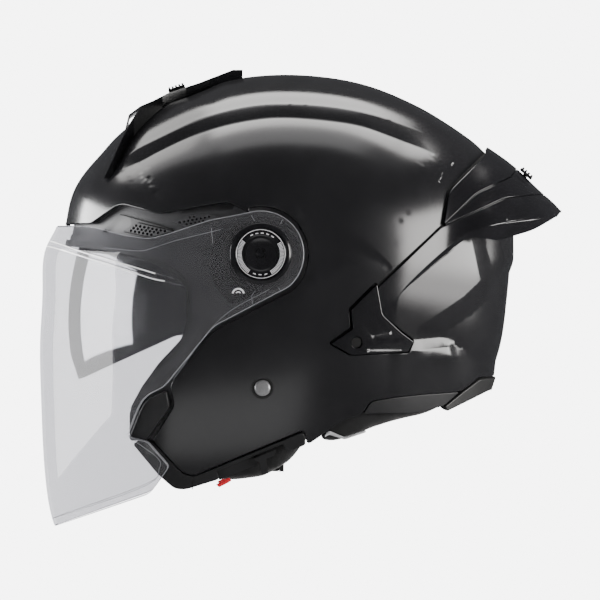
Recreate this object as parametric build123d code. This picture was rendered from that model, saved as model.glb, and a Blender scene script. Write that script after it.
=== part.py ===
"""Open-face motorcycle helmet with a long clear visor, a drop-down sun visor and a rear spoiler.

Frame: millimetres, +Z up, the wearer faces -Y, the wearer's left is +X. The origin is the middle of the line
between the wearer's ear canals, where a head form is measured from.

Every outer surface is a rounded body: its middle section is a closed profile in the YZ plane, and the sections
beside it are the same profile shrunk about a centre, as the half width falls off along a superellipse.
"""

import os
from functools import lru_cache
from math import cos, hypot, radians, sin

from build123d import *

os.makedirs("parts", exist_ok=True)

# ---- Driving dimensions -------------------------------------------------------------------------------------
PIVOT = (-12.0, 58.0)  # visor pivot axis, as (y, z)
SHELL_HALF_WIDTH = 123.5
SHELL_WALL = 3.0
FRAME_OUT, FRAME_IN = -3.2, -5.4  # eyeport frame, as offsets from the shell's outer surface
VISOR_WALL = 2.2
VISOR_PROUD = 3.0  # visor ear's outer face beyond the shell at the pivot
EAR_RADIUS = 27.5
VISOR_OPENS = 62  # degrees
SUN_PIVOT = (24.5, 16.5)  # sun visor pivot axis, as (y, z)
SUN_REACH = 160.0  # sun visor's outer radius about its pivot axis, in the middle section
SUN_HALF_WIDTH = 114.5
SUN_FULLNESS = 3.0  # exponent of the sun visor's section
SUN_WALL = 2.2
SUN_OPENS = 30  # degrees
CAVITY_CENTRE = (7.0, 40.0)
CAVITY_HALF_WIDTH = 86.0
PAD_THICKNESS = 7.0
SPEAKER_RADIUS, SPEAKER_DEPTH = 20.0, 8.0
FAR = 400.0  # longer than anything here

# Superellipse of the half width: (x / half_width) ** ACROSS + share ** ALONG = 1
ALONG, ACROSS = 2.3, 2.1
SECTION_ANGLES = (9, 18, 30, 43, 56, 69, 80, 90)

# ---- Side outlines, as (y, z) --------------------------------------------------------------------------------
CROWN_AND_BACK = [
    (-137, 78), (-132.5, 97.5), (-118, 118.5), (-100, 135.5), (-73.5, 153), (-39.5, 166.5), (-7.5, 171.5),
    (27, 170.5), (55, 165), (78, 156), (104, 142.5), (130, 124), (143.5, 100), (149, 75), (150, 52), (148, 28),
    (144, 0), (136, -26),
]
NECK_AND_FACE = [
    (120, -75), (82, -125), (20, -160), (-50, -168), (-105, -148), (-136, -105), (-144, -55), (-145, -10),
    (-143, 30), (-140.5, 55),
]
VISOR_FACE = [(-140, -125), (-150, -87), (-153, -32), (-153.5, 4), (-152, 37), (-149.5, 63), (-142.5, 77)]
SPOILER_BACK = [(136, 124.5), (152, 112.5), (166, 99), (181, 84), (187, 62), (184, 34), (173, -5), (152, -50)]
CAVITY_PROFILE = [
    (-96, 40), (-88, 85), (-55, 121), (5, 134), (65, 121), (103, 85), (112, 40), (108, -10), (98, -60),
    (70, -130), (0, -160), (-62, -130), (-86, -60), (-94, -5),
]
SHELL_EDGE = [  # the painted shell's front and lower edge, from the brow to the nape
    (-170, 77.5), (-120.5, 77.5), (-104.5, 88.5), (-99.5, 89.5), (-78.5, 84), (-33.5, 91.5), (-20, 84),
    (14, 36), (-41.5, 9.5), (-70, -25), (-67, -38), (-81, -60.5), (-62.5, -80.5), (-55, -83), (16.5, -53.5),
    (17.5, -63.5), (25.5, -58), (39.5, -47.5), (52.5, -43.5), (57.5, -35.5), (72, -33), (91.5, -31),
    (115.5, -29.5), (127.5, -21), (170, -19),
]
EYEPORT = [  # edge of the face opening, from the brow down to the jaw
    (-170, 63.5), (-137, 63.5), (-115, 61), (-93.5, 57), (-78, 51), (-66, 44), (-59.5, 36.5), (-59, 15.5),
    (-62.5, 4), (-77, -11.5), (-87.5, -26), (-94.5, -39), (-97, -44), (-97, -57), (-94, -62.5), (-78, -80),
    (-67, -91.5), (-67, -170), (-170, -170),
]
VISOR_EDGE = [
    (-170, 76), (-120.5, 76), (-101, 70.5), (-83, 68), (-69, 71.5), (-45, 79.5), (-19.5, 84.5), (2.5, 35),
    (-42, 12), (-73.5, -26.5), (-83, -31), (-87.5, -35), (-91.5, -43), (-97, -58), (-84, -61), (-71, -76),
    (-71, -78.5), (-82.5, -94.5), (-146, -116.5), (-170, -125),
]
JAW_BLOCK = [
    (-71.5, -27.5), (-82, -32.5), (-85.8, -36), (-89.5, -44), (-94.6, -56.5), (-86.5, -60), (-83.5, -58.5),
    (-69.5, -38.5),
]
JAW_RIM = [
    (-81.2, -61), (-62.5, -81), (-55, -83.5), (16, -54.4), (17, -63.3), (-37, -85), (-60, -92), (-67, -91.5),
    (-77, -83), (-94, -62.5), (-86.5, -61),
]
LEVER_NOTCH = [(-40, -80), (2, -62.8), (4.5, -69), (-2, -95), (-36, -95)]
LEVER_RAIL = [(-40.5, -79), (-17, -69.5), (-14, -75.5), (-38.5, -85.5)]
LEVER_HEAD = [(-18, -72.4), (-2.2, -66), (-3.6, -70), (-8.6, -72), (-7.5, -81), (-11.5, -82), (-13, -74)]
SIDE_BRACKET = [
    (32.5, 1.5), (46, 11), (45, 23), (61, 39), (64.3, 20), (75.5, 9.5), (84, 3), (80.5, -3.5), (45, -5.5),
]
BRACKET_SCREW = (48.5, 2.0)
REAR_PANEL = [
    (53.2, -43.6), (58, -36), (72, -33.5), (91.5, -31.5), (115, -30), (104.5, -39), (87.5, -43.5), (59, -43.6),
]
NAPE_TRIM = [(170, -19.5), (127.8, -21.6), (116, -30.1), (105, -39), (106.5, -42), (134.5, -29), (170, -28)]
SPOILER_FLANK = [(134.5, 130), (170, 130), (150.8, 111.8), (147, 107.6), (125, 97), (104.5, 76.8), (108, 98),
                 (131.5, 122)]
SPOILER_COVER = [(151.4, 112.4), (170, 115), (170, 96.5), (162.5, 96.5), (143, 94), (104, 76), (125, 96.5),
                 (147.2, 107)]
SPOILER_WING = [
    (166, 96), (200, 96), (180, 84.5), (166, 76), (147, 70.5), (122.5, 71), (100, 52), (76, 32), (74, 12),
    (65, 20), (61.8, 36), (102.5, 74.8), (143, 93.4), (162.5, 95.9),
]
SPOILER_HOLLOW = [
    (60, 130), (50, 0), (90, 0), (90, 38), (122, 73.6), (147, 73.1), (166, 78.6), (190, 91), (190, 130),
]
SCOOP_SIDE = [
    (-112, 106), (-99.5, 134), (-96.5, 147), (-89, 152.5), (-81, 156), (-71.5, 161), (-52, 167.5), (-30, 176),
    (-24, 176), (-24, 120),
]
SCOOP_PLAN = [(67, -112), (66, -106), (52, -93), (27, -75), (19, -60), (14, -45), (12, -20)]  # as (x, y)
GRILLES = [
    [(-103, 73), (-93.5, 78.6), (-69.5, 73), (-83.5, 69)],
    [(-69.5, 79), (-57, 83.3), (-46, 83.3), (-41.5, 80.6), (-59, 76)],
]
FRAME_SCREW = (-33.5, 69.0)
STRAP_RIVET = (-11.0, -27.0)
EPS_SIDE = [
    (-170, 67), (-137, 67), (-113, 65), (-91, 61), (-74, 55), (-61, 46), (-54, 38), (-54, 20), (-28, 13),
    (-26, -24), (23, -26), (24, -46), (45, -35.5), (75, -23.5), (110, -21.5), (128, -15), (170, -14), (170, 200),
    (-170, 200),
]
CHEEK_PAD = [
    (-54, 19), (-29, 12), (-27, -25), (22, -27), (22.5, -47), (20, -60), (8, -76), (-10, -86), (-30, -88.5),
    (-52, -85), (-64, -80), (-84, -58), (-88, -46), (-83, -35), (-70, -15), (-57, 3),
]
CHEEK_FACE = [(56, -95), (60, -62), (67, -30), (75, 0), (80, 30), (150, 30), (150, -95)]  # as (x, y)
NECK_ROLL = [
    (24.6, -47.2), (45, -36.3), (75, -24.3), (110, -22.3), (128, -16), (170, -15), (170, -24), (134, -26),
    (106, -36), (100, -43), (66, -52), (44, -60), (30, -64), (24.5, -60),
]
CROWN_PAD_FLOOR = [(-170, 68), (-80, 62), (-40, 34), (60, 14), (170, -5)]
SUN_OUTLINE = [
    (-170, -22.5), (-131, -22.5), (-126, -21), (-68, 5.5), (-50, 9), (-12, 6), (22, 6), (22, 27), (-15, 32),
    (-45, 46), (-60, 66), (-80, 75), (-170, 78),
]
SUN_SWEEP = [(38, 0), (38, 32), (-115, 242), (-260, 242), (-260, -45), (-60, -8), (20, 0)]

# ---- Helpers -------------------------------------------------------------------------------------------------


def shifted(points, centre, by):
    """The points moved away from the centre by a distance."""
    moved = []
    for y, z in points:
        reach = hypot(y - centre[0], z - centre[1])
        share = (reach + by) / reach
        moved.append((centre[0] + (y - centre[0]) * share, centre[1] + (z - centre[1]) * share))
    return moved


def face_share(angle):
    return sin(radians(angle)) ** (2 / ALONG)


def width_share(angle):
    return cos(radians(angle)) ** (2 / ACROSS) if angle < 90 else 0.0


CAP_SHARE = width_share(SECTION_ANGLES[0])  # each rounded body ends in a flat disc at this share of its width


def rounded_body(profile, centre, half_width, by=0.0):
    """A closed solid, by millimetres outside the one that the profile and half width describe."""
    points = shifted(profile, centre, by)
    half_width += by
    sections = []
    angles = [(a, 1) for a in SECTION_ANGLES] + [(a, -1) for a in reversed(SECTION_ANGLES[:-1])]
    for angle, side in angles:
        share = face_share(angle)
        ring = [(centre[0] + (y - centre[0]) * share, centre[1] + (z - centre[1]) * share) for y, z in points]
        x = side * half_width * width_share(angle)
        sections.append(Wire([Edge.make_spline([Vector(x, y, z) for y, z in ring], periodic=True)]))
    return Solid.make_loft(sections)


@lru_cache(maxsize=None)
def shell_body(by=0.0):
    return rounded_body(CROWN_AND_BACK + NECK_AND_FACE, PIVOT, SHELL_HALF_WIDTH, by)


@lru_cache(maxsize=None)
def visor_body(by=0.0):
    profile = shifted(CROWN_AND_BACK[1:], PIVOT, 6) + shifted(NECK_AND_FACE[:5], PIVOT, 6) + VISOR_FACE
    return rounded_body(profile, PIVOT, SHELL_HALF_WIDTH + VISOR_PROUD, by)


@lru_cache(maxsize=None)
def spoiler_body(by=0.0):
    profile = shifted(CROWN_AND_BACK[:11], PIVOT, 1.5) + SPOILER_BACK + shifted(NECK_AND_FACE[1:], PIVOT, 1.5)
    return rounded_body(profile, PIVOT, SHELL_HALF_WIDTH + 1.5, by)


@lru_cache(maxsize=None)
def cavity_body(by=0.0):
    return rounded_body(CAVITY_PROFILE, CAVITY_CENTRE, CAVITY_HALF_WIDTH, by)


def side_prism(points, start=-FAR, end=FAR):
    """The side outline, run across the helmet from x = start to x = end."""
    face = make_face(Polyline(*[(0, y, z) for y, z in points], close=True))
    return Pos(start, 0, 0) * extrude(face, amount=end - start, dir=(1, 0, 0))


def plan_prism(points, low=-FAR, high=FAR):
    """The plan outline, run upwards from z = low to z = high."""
    face = make_face(Polyline(*[(x, y, low) for x, y in points], close=True))
    return extrude(face, amount=high - low, dir=(0, 0, 1))


def cross_cylinder(centre, radius, start, end):
    """A cylinder along X, from x = start to x = end, at (y, z)."""
    middle = Pos((start + end) / 2, *centre) * Rot(0, 90, 0)
    return middle * Cylinder(radius, abs(end - start))


def grown(points, by):
    """The side outline's face, grown sideways, run across the helmet."""
    face = offset(make_face(Polyline(*[(0, y, z) for y, z in points], close=True)), by, kind=Kind.INTERSECTION)
    return Pos(-FAR, 0, 0) * extrude(face, amount=2 * FAR, dir=(1, 0, 0))


def whole(shape):
    """The shape's real solids as one object, without slivers."""
    found = [s for s in shape.solids() if s.volume > 1.0]
    return found[0] if len(found) == 1 else Compound(found)


def within(shape, *masks):
    for mask in masks:
        shape = whole(shape & mask)
    return shape


def without(shape, *tools):
    for tool in tools:
        shape = whole(shape - tool)
    return shape


def joined(*shapes):
    total = shapes[0]
    for shape in shapes[1:]:
        total = whole(total + shape)
    return total


def layer(outer, inner, *masks):
    """What lies between two nested bodies and within every mask."""
    return without(within(outer, *masks), inner)


def mirrored(shape):
    return mirror(shape, about=Plane.YZ)


LEFT = Pos(FAR, 0, 0) * Box(2 * FAR, 2 * FAR, 2 * FAR)


def turned_body(axis, half_width, reach, fullness):
    """A body of revolution about the crosswise axis at (y, z)."""
    points = []
    for angle in (9, 20, 32, 45, 60, 75, 90):
        points.append((half_width * width_share(angle), reach * sin(radians(angle)) ** (2 / fullness)))
    points += [(-x, r) for x, r in reversed(points[:-1])]
    rim = [(x, axis[0] - r, axis[1]) for x, r in points]
    left_foot, right_foot = (rim[0][0], *axis), (-rim[0][0], *axis)
    outline = [Spline(*rim), Line(rim[-1], right_foot), Line(right_foot, left_foot), Line(left_foot, rim[0])]
    return revolve(make_face(outline), Axis((0, *axis), (1, 0, 0)), 360)


@lru_cache(maxsize=None)
def sun_body(by=0.0):
    return turned_body(SUN_PIVOT, SUN_HALF_WIDTH + by, SUN_REACH + by, SUN_FULLNESS)


def save(name, shape):
    export_step(shape, f"parts/{name}.step")


def save_pair(name, left):
    save(f"{name}_left", left)
    save(f"{name}_right", mirrored(left))


def both_sides(left):
    return Compound([s for shape in (left, mirrored(left)) for s in shape.solids()])


# ---- Shell, frame and trims ----------------------------------------------------------------------------------
BELOW_SHELL = [(170, -200), (-170, -200)]
recess = side_prism(SHELL_EDGE + BELOW_SHELL)
ear_recess = cross_cylinder(PIVOT, EAR_RADIUS + 3, -FAR, FAR)
eyeport = side_prism(EYEPORT)
left_rivet_hole = cross_cylinder(STRAP_RIVET, 3.6, -FAR, FAR)
inside_shell = shell_body(-SHELL_WALL)


def frame_reach(overlap):
    """Side region of the eyeport frame, which runs under the shell's edge by the overlap."""
    front = grown(SHELL_EDGE[:12] + [(-84, -61), (-94, -61), (-170, -61)], overlap)
    return joined(front, cross_cylinder(PIVOT, EAR_RADIUS + 3 + overlap, -FAR, FAR))


def eyeport_frame():
    ring = layer(shell_body(FRAME_OUT), shell_body(FRAME_IN), frame_reach(5))
    windows = [side_prism(outline) for outline in GRILLES]
    return without(ring, eyeport, cross_cylinder(FRAME_SCREW, 1.6, -FAR, FAR), *windows)


def brow_grilles():
    """Plates with staggered round holes, set in the frame's windows."""
    plates = []
    pitch, hole_radius = 3.4, 1.1
    for outline in GRILLES:
        face = offset(make_face(Polyline(*[(0, y, z) for y, z in outline], close=True)), -0.1)
        rim = offset(face, -hole_radius - 0.5)
        low, high = face.bounding_box().min, face.bounding_box().max
        holes = []
        for row in range(int((high.Z - low.Z) / pitch * 1.2) + 1):
            for column in range(int((high.Y - low.Y) / pitch) + 1):
                y = low.Y + pitch * (column + 0.5 * (row % 2))
                z = low.Z + pitch * 0.87 * (row + 0.6)
                if rim.faces()[0].is_inside((0, y, z)):
                    holes.append(cross_cylinder((y, z), hole_radius, -1, FAR))
        plate = whole(extrude(face, amount=FAR, dir=(1, 0, 0)) - holes)
        plates.append(layer(shell_body(FRAME_OUT - 0.5), shell_body(FRAME_IN + 0.3), plate))
    return Compound([s for p in plates for s in p.solids()] + [mirrored(s) for p in plates for s in p.solids()])


def frame_screw():
    head = without(cross_cylinder(FRAME_SCREW, 3.4, 80, FAR), shell_body(FRAME_OUT))
    shank = without(cross_cylinder(FRAME_SCREW, 1.5, 80, FAR), shell_body(FRAME_IN - 2))
    return within(joined(head, shank), shell_body(FRAME_OUT + 1.2))


def eyeport_gasket():
    """The rubber bead that the closed visor seals against, along the edge of the face opening."""
    band = whole(grown(EYEPORT, 4) - eyeport)
    above_jaw = side_prism([(-170, -40), (0, -40), (0, 120), (-170, 120)])
    return layer(shell_body(-1.4), shell_body(FRAME_OUT), band, above_jaw)


def jaw_rim():
    return layer(shell_body(-0.2), inside_shell, side_prism(JAW_RIM), LEFT)


save("outer_shell", without(shell_body(), inside_shell, recess, ear_recess, left_rivet_hole))
save("eyeport_frame", eyeport_frame())
save("eyeport_gasket", eyeport_gasket())
save("brow_grilles", brow_grilles())
save("frame_screws", both_sides(frame_screw()))
save_pair("jaw_block", layer(shell_body(3), inside_shell, side_prism(JAW_BLOCK), LEFT))
save("jaw_rim_left", without(jaw_rim(), side_prism(LEVER_NOTCH)))
save("jaw_rim_right", mirrored(jaw_rim()))
save("lever_rail", layer(inside_shell, shell_body(-5.2), side_prism(LEVER_RAIL), LEFT))
save("sun_visor_lever", layer(shell_body(-0.4), shell_body(-2.7), side_prism(LEVER_HEAD), LEFT))
save_pair("rear_lower_panel", layer(shell_body(-0.4), inside_shell, side_prism(REAR_PANEL), LEFT))
save("nape_trim", layer(shell_body(0.4), shell_body(-SHELL_WALL - 0.8), side_prism(NAPE_TRIM)))

# ---- Top vent ------------------------------------------------------------------------------------------------
SCOOP_WALL = 2.0
VISOR_SWEEP_REACH = 128.0  # radius about the pivot that the opening visor leaves free, in the middle section
TOP_SLIDE_FROM, TOP_SLIDE_TO = (-70.0, 161.5), (-52.0, 167.5)  # line the slider's foot runs on, as (y, z)


def mirrored_plan(points):
    return points + [(-x, y) for x, y in reversed(points)]


def along(start, end, distance, lift=0.0):
    """A point along a (y, z) line, lifted off it."""
    length = hypot(end[0] - start[0], end[1] - start[1])
    dy, dz = (end[0] - start[0]) / length, (end[1] - start[1]) / length
    return (start[0] + dy * distance - dz * lift, start[1] + dz * distance + dy * lift)


def slab(start, end, first, last, low, high, half_width):
    """A block lying along a (y, z) line, between two distances along it and two heights above it."""
    corners = [along(start, end, first, low), along(start, end, last, low), along(start, end, last, high),
               along(start, end, first, high)]
    return side_prism(corners, -half_width, half_width)


def ribbed(start, end, first, last, low, top, half_width, ribs):
    """A thumb slider's block with raised ribs across it."""
    body = slab(start, end, first, last, low, top, half_width)
    pitch = (last - first) / ribs
    for i in range(ribs):
        middle = first + pitch * (i + 0.5)
        rib = slab(start, end, middle - pitch * 0.28, middle + pitch * 0.28, top, top + 1.2, half_width)
        body = joined(body, rib)
    return body


def top_vent_housing():
    block = within(side_prism(SCOOP_SIDE), plan_prism(mirrored_plan(SCOOP_PLAN)))
    visor_room = turned_body(PIVOT, SHELL_HALF_WIDTH, VISOR_SWEEP_REACH, ALONG)
    block = without(within(block, visor_room), shell_body())
    core_side = [(y, z - SCOOP_WALL) for y, z in SCOOP_SIDE[1:7]]
    core_side = [(-140, 100), (-140, 140)] + core_side + [(-46, 166), (-46, 100)]
    core_plan = [(x - 2.5, y) for x, y in SCOOP_PLAN[1:6]]
    core_plan = [(63, -140)] + core_plan
    core = within(side_prism(core_side), plan_prism(mirrored_plan(core_plan)))
    slot = slab(TOP_SLIDE_FROM, TOP_SLIDE_TO, 2, 15, -5, 3, 2.6)
    return without(block, core, slot)


def top_vent_slider():
    start, end = TOP_SLIDE_FROM, TOP_SLIDE_TO
    pad = ribbed(start, end, -1, 10, 0.15, 2.2, 11, 5)
    stem = slab(start, end, 3, 6, -2.6, 0.2, 2.2)
    foot = slab(start, end, 1.5, 7.5, -3.8, -2.6, 4)
    return joined(pad, stem, foot)


save("top_vent_housing", top_vent_housing())
save("top_vent_slider", top_vent_slider())
spine = plan_prism([(6, -24), (6, 36), (-6, 36), (-6, -24)], 100)
save("crown_spine", layer(shell_body(1.2), shell_body(), spine))

# ---- Rear spoiler --------------------------------------------------------------------------------------------
SPOILER_WALL = 2.4
REAR_SLIDE_FROM, REAR_SLIDE_TO = (151.5, 112.3), (164.5, 100.2)


def spoiler_skin(outline):
    return without(layer(spoiler_body(), spoiler_body(-SPOILER_WALL), side_prism(outline)), shell_body())


def spoiler_wing():
    hollow = within(spoiler_body(-SPOILER_WALL), side_prism(SPOILER_HOLLOW))
    return without(within(spoiler_body(), side_prism(SPOILER_WING)), hollow, shell_body())


rear_slot = slab(REAR_SLIDE_FROM, REAR_SLIDE_TO, 4, 14, -8, 6, 2.6)
save("spoiler_flank", spoiler_skin(SPOILER_FLANK))
save("spoiler_cover", without(spoiler_skin(SPOILER_COVER), rear_slot))
save("rear_spoiler", spoiler_wing())


def rear_vent_slider():
    start, end = REAR_SLIDE_FROM, REAR_SLIDE_TO
    pad = ribbed(start, end, 1.5, 11, 1.2, 2.8, 12, 4)
    stem = slab(start, end, 5, 8, -3.8, 1.3, 2.2)
    foot = slab(start, end, 3.5, 9.5, -5.0, -3.8, 4)
    return joined(pad, stem, foot)


save("rear_vent_slider", rear_vent_slider())

# ---- Side brackets -------------------------------------------------------------------------------------------
bracket_bore = without(cross_cylinder(BRACKET_SCREW, 3.3, 0, FAR), shell_body(0.9))
bracket = without(layer(shell_body(2.0), shell_body(), side_prism(SIDE_BRACKET), LEFT), bracket_bore)
save_pair("side_bracket", bracket)
bracket_screw = layer(shell_body(2.0), shell_body(0.9), cross_cylinder(BRACKET_SCREW, 3.1, 0, FAR))
save("bracket_screws", both_sides(bracket_screw))

# ---- Visor and its pivots ------------------------------------------------------------------------------------
BASE_RADIUS, BOSS_RADIUS, STUD_RADIUS = 24.0, 9.0, 4.0
FRAME_CAP = CAP_SHARE * (SHELL_HALF_WIDTH + FRAME_OUT)
EAR_OUT = CAP_SHARE * (SHELL_HALF_WIDTH + VISOR_PROUD)
EAR_IN = CAP_SHARE * (SHELL_HALF_WIDTH + VISOR_PROUD - VISOR_WALL)
BASE_OUT = EAR_IN - 0.35
CAP_RADIUS, BEZEL_RADIUS = 16.0, 19.6


def visor_shield():
    ears = cross_cylinder(PIVOT, EAR_RADIUS, -FAR, FAR)
    outline = joined(side_prism(VISOR_EDGE), ears)
    holes = cross_cylinder(PIVOT, BOSS_RADIUS + 0.1, -FAR, FAR)
    return without(layer(visor_body(), visor_body(-VISOR_WALL), outline), holes)


def pivot_base():
    plate = cross_cylinder(PIVOT, BASE_RADIUS, FRAME_CAP - 4, BASE_OUT)
    plate = without(plate, shell_body(FRAME_OUT), cross_cylinder(FRAME_SCREW, 3.9, 80, FAR))
    boss = cross_cylinder(PIVOT, BOSS_RADIUS, FRAME_CAP, EAR_OUT)
    socket = cross_cylinder(PIVOT, STUD_RADIUS + 0.1, EAR_OUT - 4.5, FAR)
    base = without(joined(plate, boss), socket)
    for angle in (60, 180, 300):
        base = without(base, cross_cylinder(screw_at(angle), 2.6, BASE_OUT - 1.8, FAR))
    return base


def screw_at(angle):
    return (PIVOT[0] + 18.5 * cos(radians(angle)), PIVOT[1] + 18.5 * sin(radians(angle)))


def pivot_screws():
    heads = [cross_cylinder(screw_at(a), 2.5, BASE_OUT - 1.8, BASE_OUT - 0.3) for a in (60, 180, 300)]
    return Compound([s for head in heads for s in head.solids()])


def pivot_cap():
    """The quarter-turn disc over the pivot, with a finger bar across it and a stud in the boss."""
    disc = cross_cylinder(PIVOT, CAP_RADIUS, EAR_OUT + 0.5, EAR_OUT + 2.2)
    dish = cross_cylinder(PIVOT, 10.0, EAR_OUT + 1.6, FAR)
    bar = Pos(EAR_OUT + 1.85, *PIVOT) * Rot(45, 0, 0) * Box(1.0, 18.0, 4.0)
    stud = cross_cylinder(PIVOT, STUD_RADIUS, EAR_OUT - 4.2, EAR_OUT + 0.8)
    return joined(without(disc, dish), bar, stud)


def visor_bezel():
    ring = cross_cylinder(PIVOT, BEZEL_RADIUS, EAR_OUT - 2, EAR_OUT + 1.6)
    return without(ring, cross_cylinder(PIVOT, CAP_RADIUS + 0.3, 0, FAR), visor_body())


save("visor_shield", visor_shield())
save_pair("visor_bezel", visor_bezel())
save_pair("pivot_base", pivot_base())
save("pivot_screws", both_sides(pivot_screws()))
save_pair("pivot_cap", pivot_cap())

# ---- Sun visor -----------------------------------------------------------------------------------------------
SUN_EAR_RADIUS = 11.0
SUN_CAP = CAP_SHARE * SUN_HALF_WIDTH
EPS_CLEAR = 1.2  # gap between the sun visor's inner face and the foam behind it
sun_way = whole(side_prism(SUN_SWEEP) - sun_body(-SUN_WALL - EPS_CLEAR))


def sun_visor():
    outline = joined(side_prism(SUN_OUTLINE), cross_cylinder(SUN_PIVOT, SUN_EAR_RADIUS, -FAR, FAR))
    lens = layer(sun_body(), sun_body(-SUN_WALL), outline)
    nose = Pos(0, -100, -28) * Rot(90, 0, 0) * extrude(Ellipse(26, 22), amount=80, both=True)
    return without(lens, nose, cross_cylinder(SUN_PIVOT, STUD_RADIUS + 0.1, -FAR, FAR))


def sun_visor_stud():
    stud = cross_cylinder(SUN_PIVOT, STUD_RADIUS, SUN_CAP - 12, SUN_CAP + 0.2)
    return joined(stud, cross_cylinder(SUN_PIVOT, 7.0, SUN_CAP + 0.2, SUN_CAP + 1.8))


save("sun_visor", sun_visor())
save("sun_visor_studs", both_sides(sun_visor_stud()))

# ---- Liner and pads ------------------------------------------------------------------------------------------
SPEAKER_AT, SPEAKER_LAND_X = (6.0, 1.0), 90.0
STRAP_WIDTH, STRAP_THICKNESS = 22.0, 2.0
STRAP_Y = STRAP_RIVET[0]
STRAP_SIDE = [(112.2, -17), (111.5, -31), (108.5, -43), (66, -65)]  # (x, z) from the rivet through the cheek pad


def ribbon(points, thickness):
    """The outline of a band of even thickness about an open line of (x, z) points."""
    normals = []
    for (x0, z0), (x1, z1) in zip(points, points[1:]):
        length = hypot(x1 - x0, z1 - z0)
        normals.append(((z0 - z1) / length, (x1 - x0) / length))
    sides = []
    for sign in (1, -1):
        side = []
        for i, (x, z) in enumerate(points):
            near = normals[max(i - 1, 0)], normals[min(i, len(normals) - 1)]
            nx, nz = near[0][0] + near[1][0], near[0][1] + near[1][1]
            scale = sign * thickness / (nx * near[1][0] + nz * near[1][1]) / 2
            side.append((x + nx * scale, z + nz * scale))
        sides.append(side)
    return sides[0] + sides[1][::-1]


def strap_band(points, thickness=STRAP_THICKNESS, width=STRAP_WIDTH):
    outline = ribbon(points, thickness)
    face = make_face(Polyline(*[(x, STRAP_Y - width / 2, z) for x, z in outline], close=True))
    return extrude(face, amount=width, dir=(0, 1, 0))


strap_way = strap_band([(112.2, -13)] + STRAP_SIDE[1:] + [(40, -77)], 5.0, STRAP_WIDTH + 2)
strap_ways = [strap_way, mirrored(strap_way)]


def eps_liner():
    foam = within(shell_body(-3.4), side_prism(EPS_SIDE))
    pockets = []
    for side in (1, -1):
        pockets.append(cross_cylinder(SPEAKER_AT, SPEAKER_RADIUS + 2, side * 70, side * SPEAKER_LAND_X))
        floor_x = SPEAKER_LAND_X + SPEAKER_DEPTH
        pockets.append(cross_cylinder(SPEAKER_AT, SPEAKER_RADIUS, side * 80, side * floor_x))
        pockets.append(cross_cylinder(SUN_PIVOT, STUD_RADIUS, side * 98, side * 130))
        pockets.append(Pos(side * 115.5, STRAP_Y, -24) * Box(18, STRAP_WIDTH + 4, 24))
    frame_way = whole(frame_reach(6) - shell_body(FRAME_IN - 0.2))
    return without(foam, cavity_body(), sun_way, frame_way, *pockets)


def room(low, high):
    """A block between two corners."""
    size = [b - a for a, b in zip(low, high)]
    return Pos(*[(a + b) / 2 for a, b in zip(low, high)]) * Box(*size)


def liner_sections():
    """The liner's five mouldings: a crown, a brow, two sides and a back."""
    foam = eps_liner()
    crown_z, brow_y, back_y = 100.0, -50.0, 62.0
    return {
        "liner_crown": within(foam, room((-200, -200, crown_z), (200, 200, 300))),
        "liner_brow": within(foam, room((-200, -200, -200), (200, brow_y, crown_z))),
        "liner_side_left": within(foam, room((0, brow_y, -200), (200, back_y, crown_z))),
        "liner_side_right": within(foam, room((-200, brow_y, -200), (0, back_y, crown_z))),
        "liner_back": within(foam, room((-200, back_y, -200), (200, 200, crown_z))),
    }


def crown_pad():
    above = side_prism(CROWN_PAD_FLOOR + [(170, 200), (-170, 200)])
    return layer(cavity_body(), cavity_body(-PAD_THICKNESS), above)


def cheek_pad():
    block = within(shell_body(-6), side_prism(CHEEK_PAD), plan_prism(CHEEK_FACE))
    return without(block, sun_way, strap_way, cross_cylinder(STRAP_RIVET, 8.0, 100, FAR))


def cheek_pad_studs():
    spots = [(-44, -40), (-30, -66), (8, -58)]
    studs = [layer(inside_shell, shell_body(-6), cross_cylinder(s, 4.5, 0, FAR)) for s in spots]
    return Compound([s for stud in studs for s in stud.solids()])


PIPING = [(28, -56.8), (31, -54), (41, -58), (54.5, -53.5), (55, -55.3), (41, -60), (31, -56.5), (28.6, -58.6)]
piping = layer(shell_body(-3.6), shell_body(-6.0), side_prism(PIPING), LEFT)
piping = Compound([piping, mirrored(piping)])
neck_roll = layer(shell_body(-4.1), shell_body(-19), side_prism(NECK_ROLL))

for name, section in liner_sections().items():
    save(name, section)
save("crown_pad", crown_pad())
save_pair("cheek_pad", cheek_pad())
save("cheek_pad_studs", both_sides(cheek_pad_studs()))
save("neck_roll", without(neck_roll, *piping.solids()))
save("neck_piping", piping)
TAB = [(-41, -88.4), (-32.5, -83.6), (-30, -86), (-38.5, -90.5)]
save("cheek_release_tabs", both_sides(layer(shell_body(-4.4), shell_body(-6), side_prism(TAB), LEFT)))

# ---- Chin strap ----------------------------------------------------------------------------------------------
BUCKLE_X, BUCKLE_Z = (13.0, 45.0), (-77.4, -70.0)
BUCKLE_HINGE = (41.0, -78.6)  # lever's axis, as (x, z)
tab_hole = cross_cylinder(STRAP_RIVET, 3.6, -FAR, FAR)


def lengthwise_block(x0, x1, z0, z1, width):
    return Pos((x0 + x1) / 2, STRAP_Y, (z0 + z1) / 2) * Box(x1 - x0, width, z1 - z0)


def fore_aft_cylinder(x, z, radius, width):
    return Pos(x, STRAP_Y, z) * Rot(90, 0, 0) * Cylinder(radius, width)


def buckle_body():
    body = lengthwise_block(*BUCKLE_X, *BUCKLE_Z, 27)
    body = without(body, lengthwise_block(0, 40, -75.4, -72.4, 17))
    for side in (-1, 1):
        cheek = Pos(0, side * 12.0, 0) * lengthwise_block(36, 45, -80.6, -77, 3)
        body = joined(body, cheek)
    return without(body, fore_aft_cylinder(*BUCKLE_HINGE, 1.3, 60), fore_aft_cylinder(*BUCKLE_HINGE, 2.2, 21))


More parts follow.
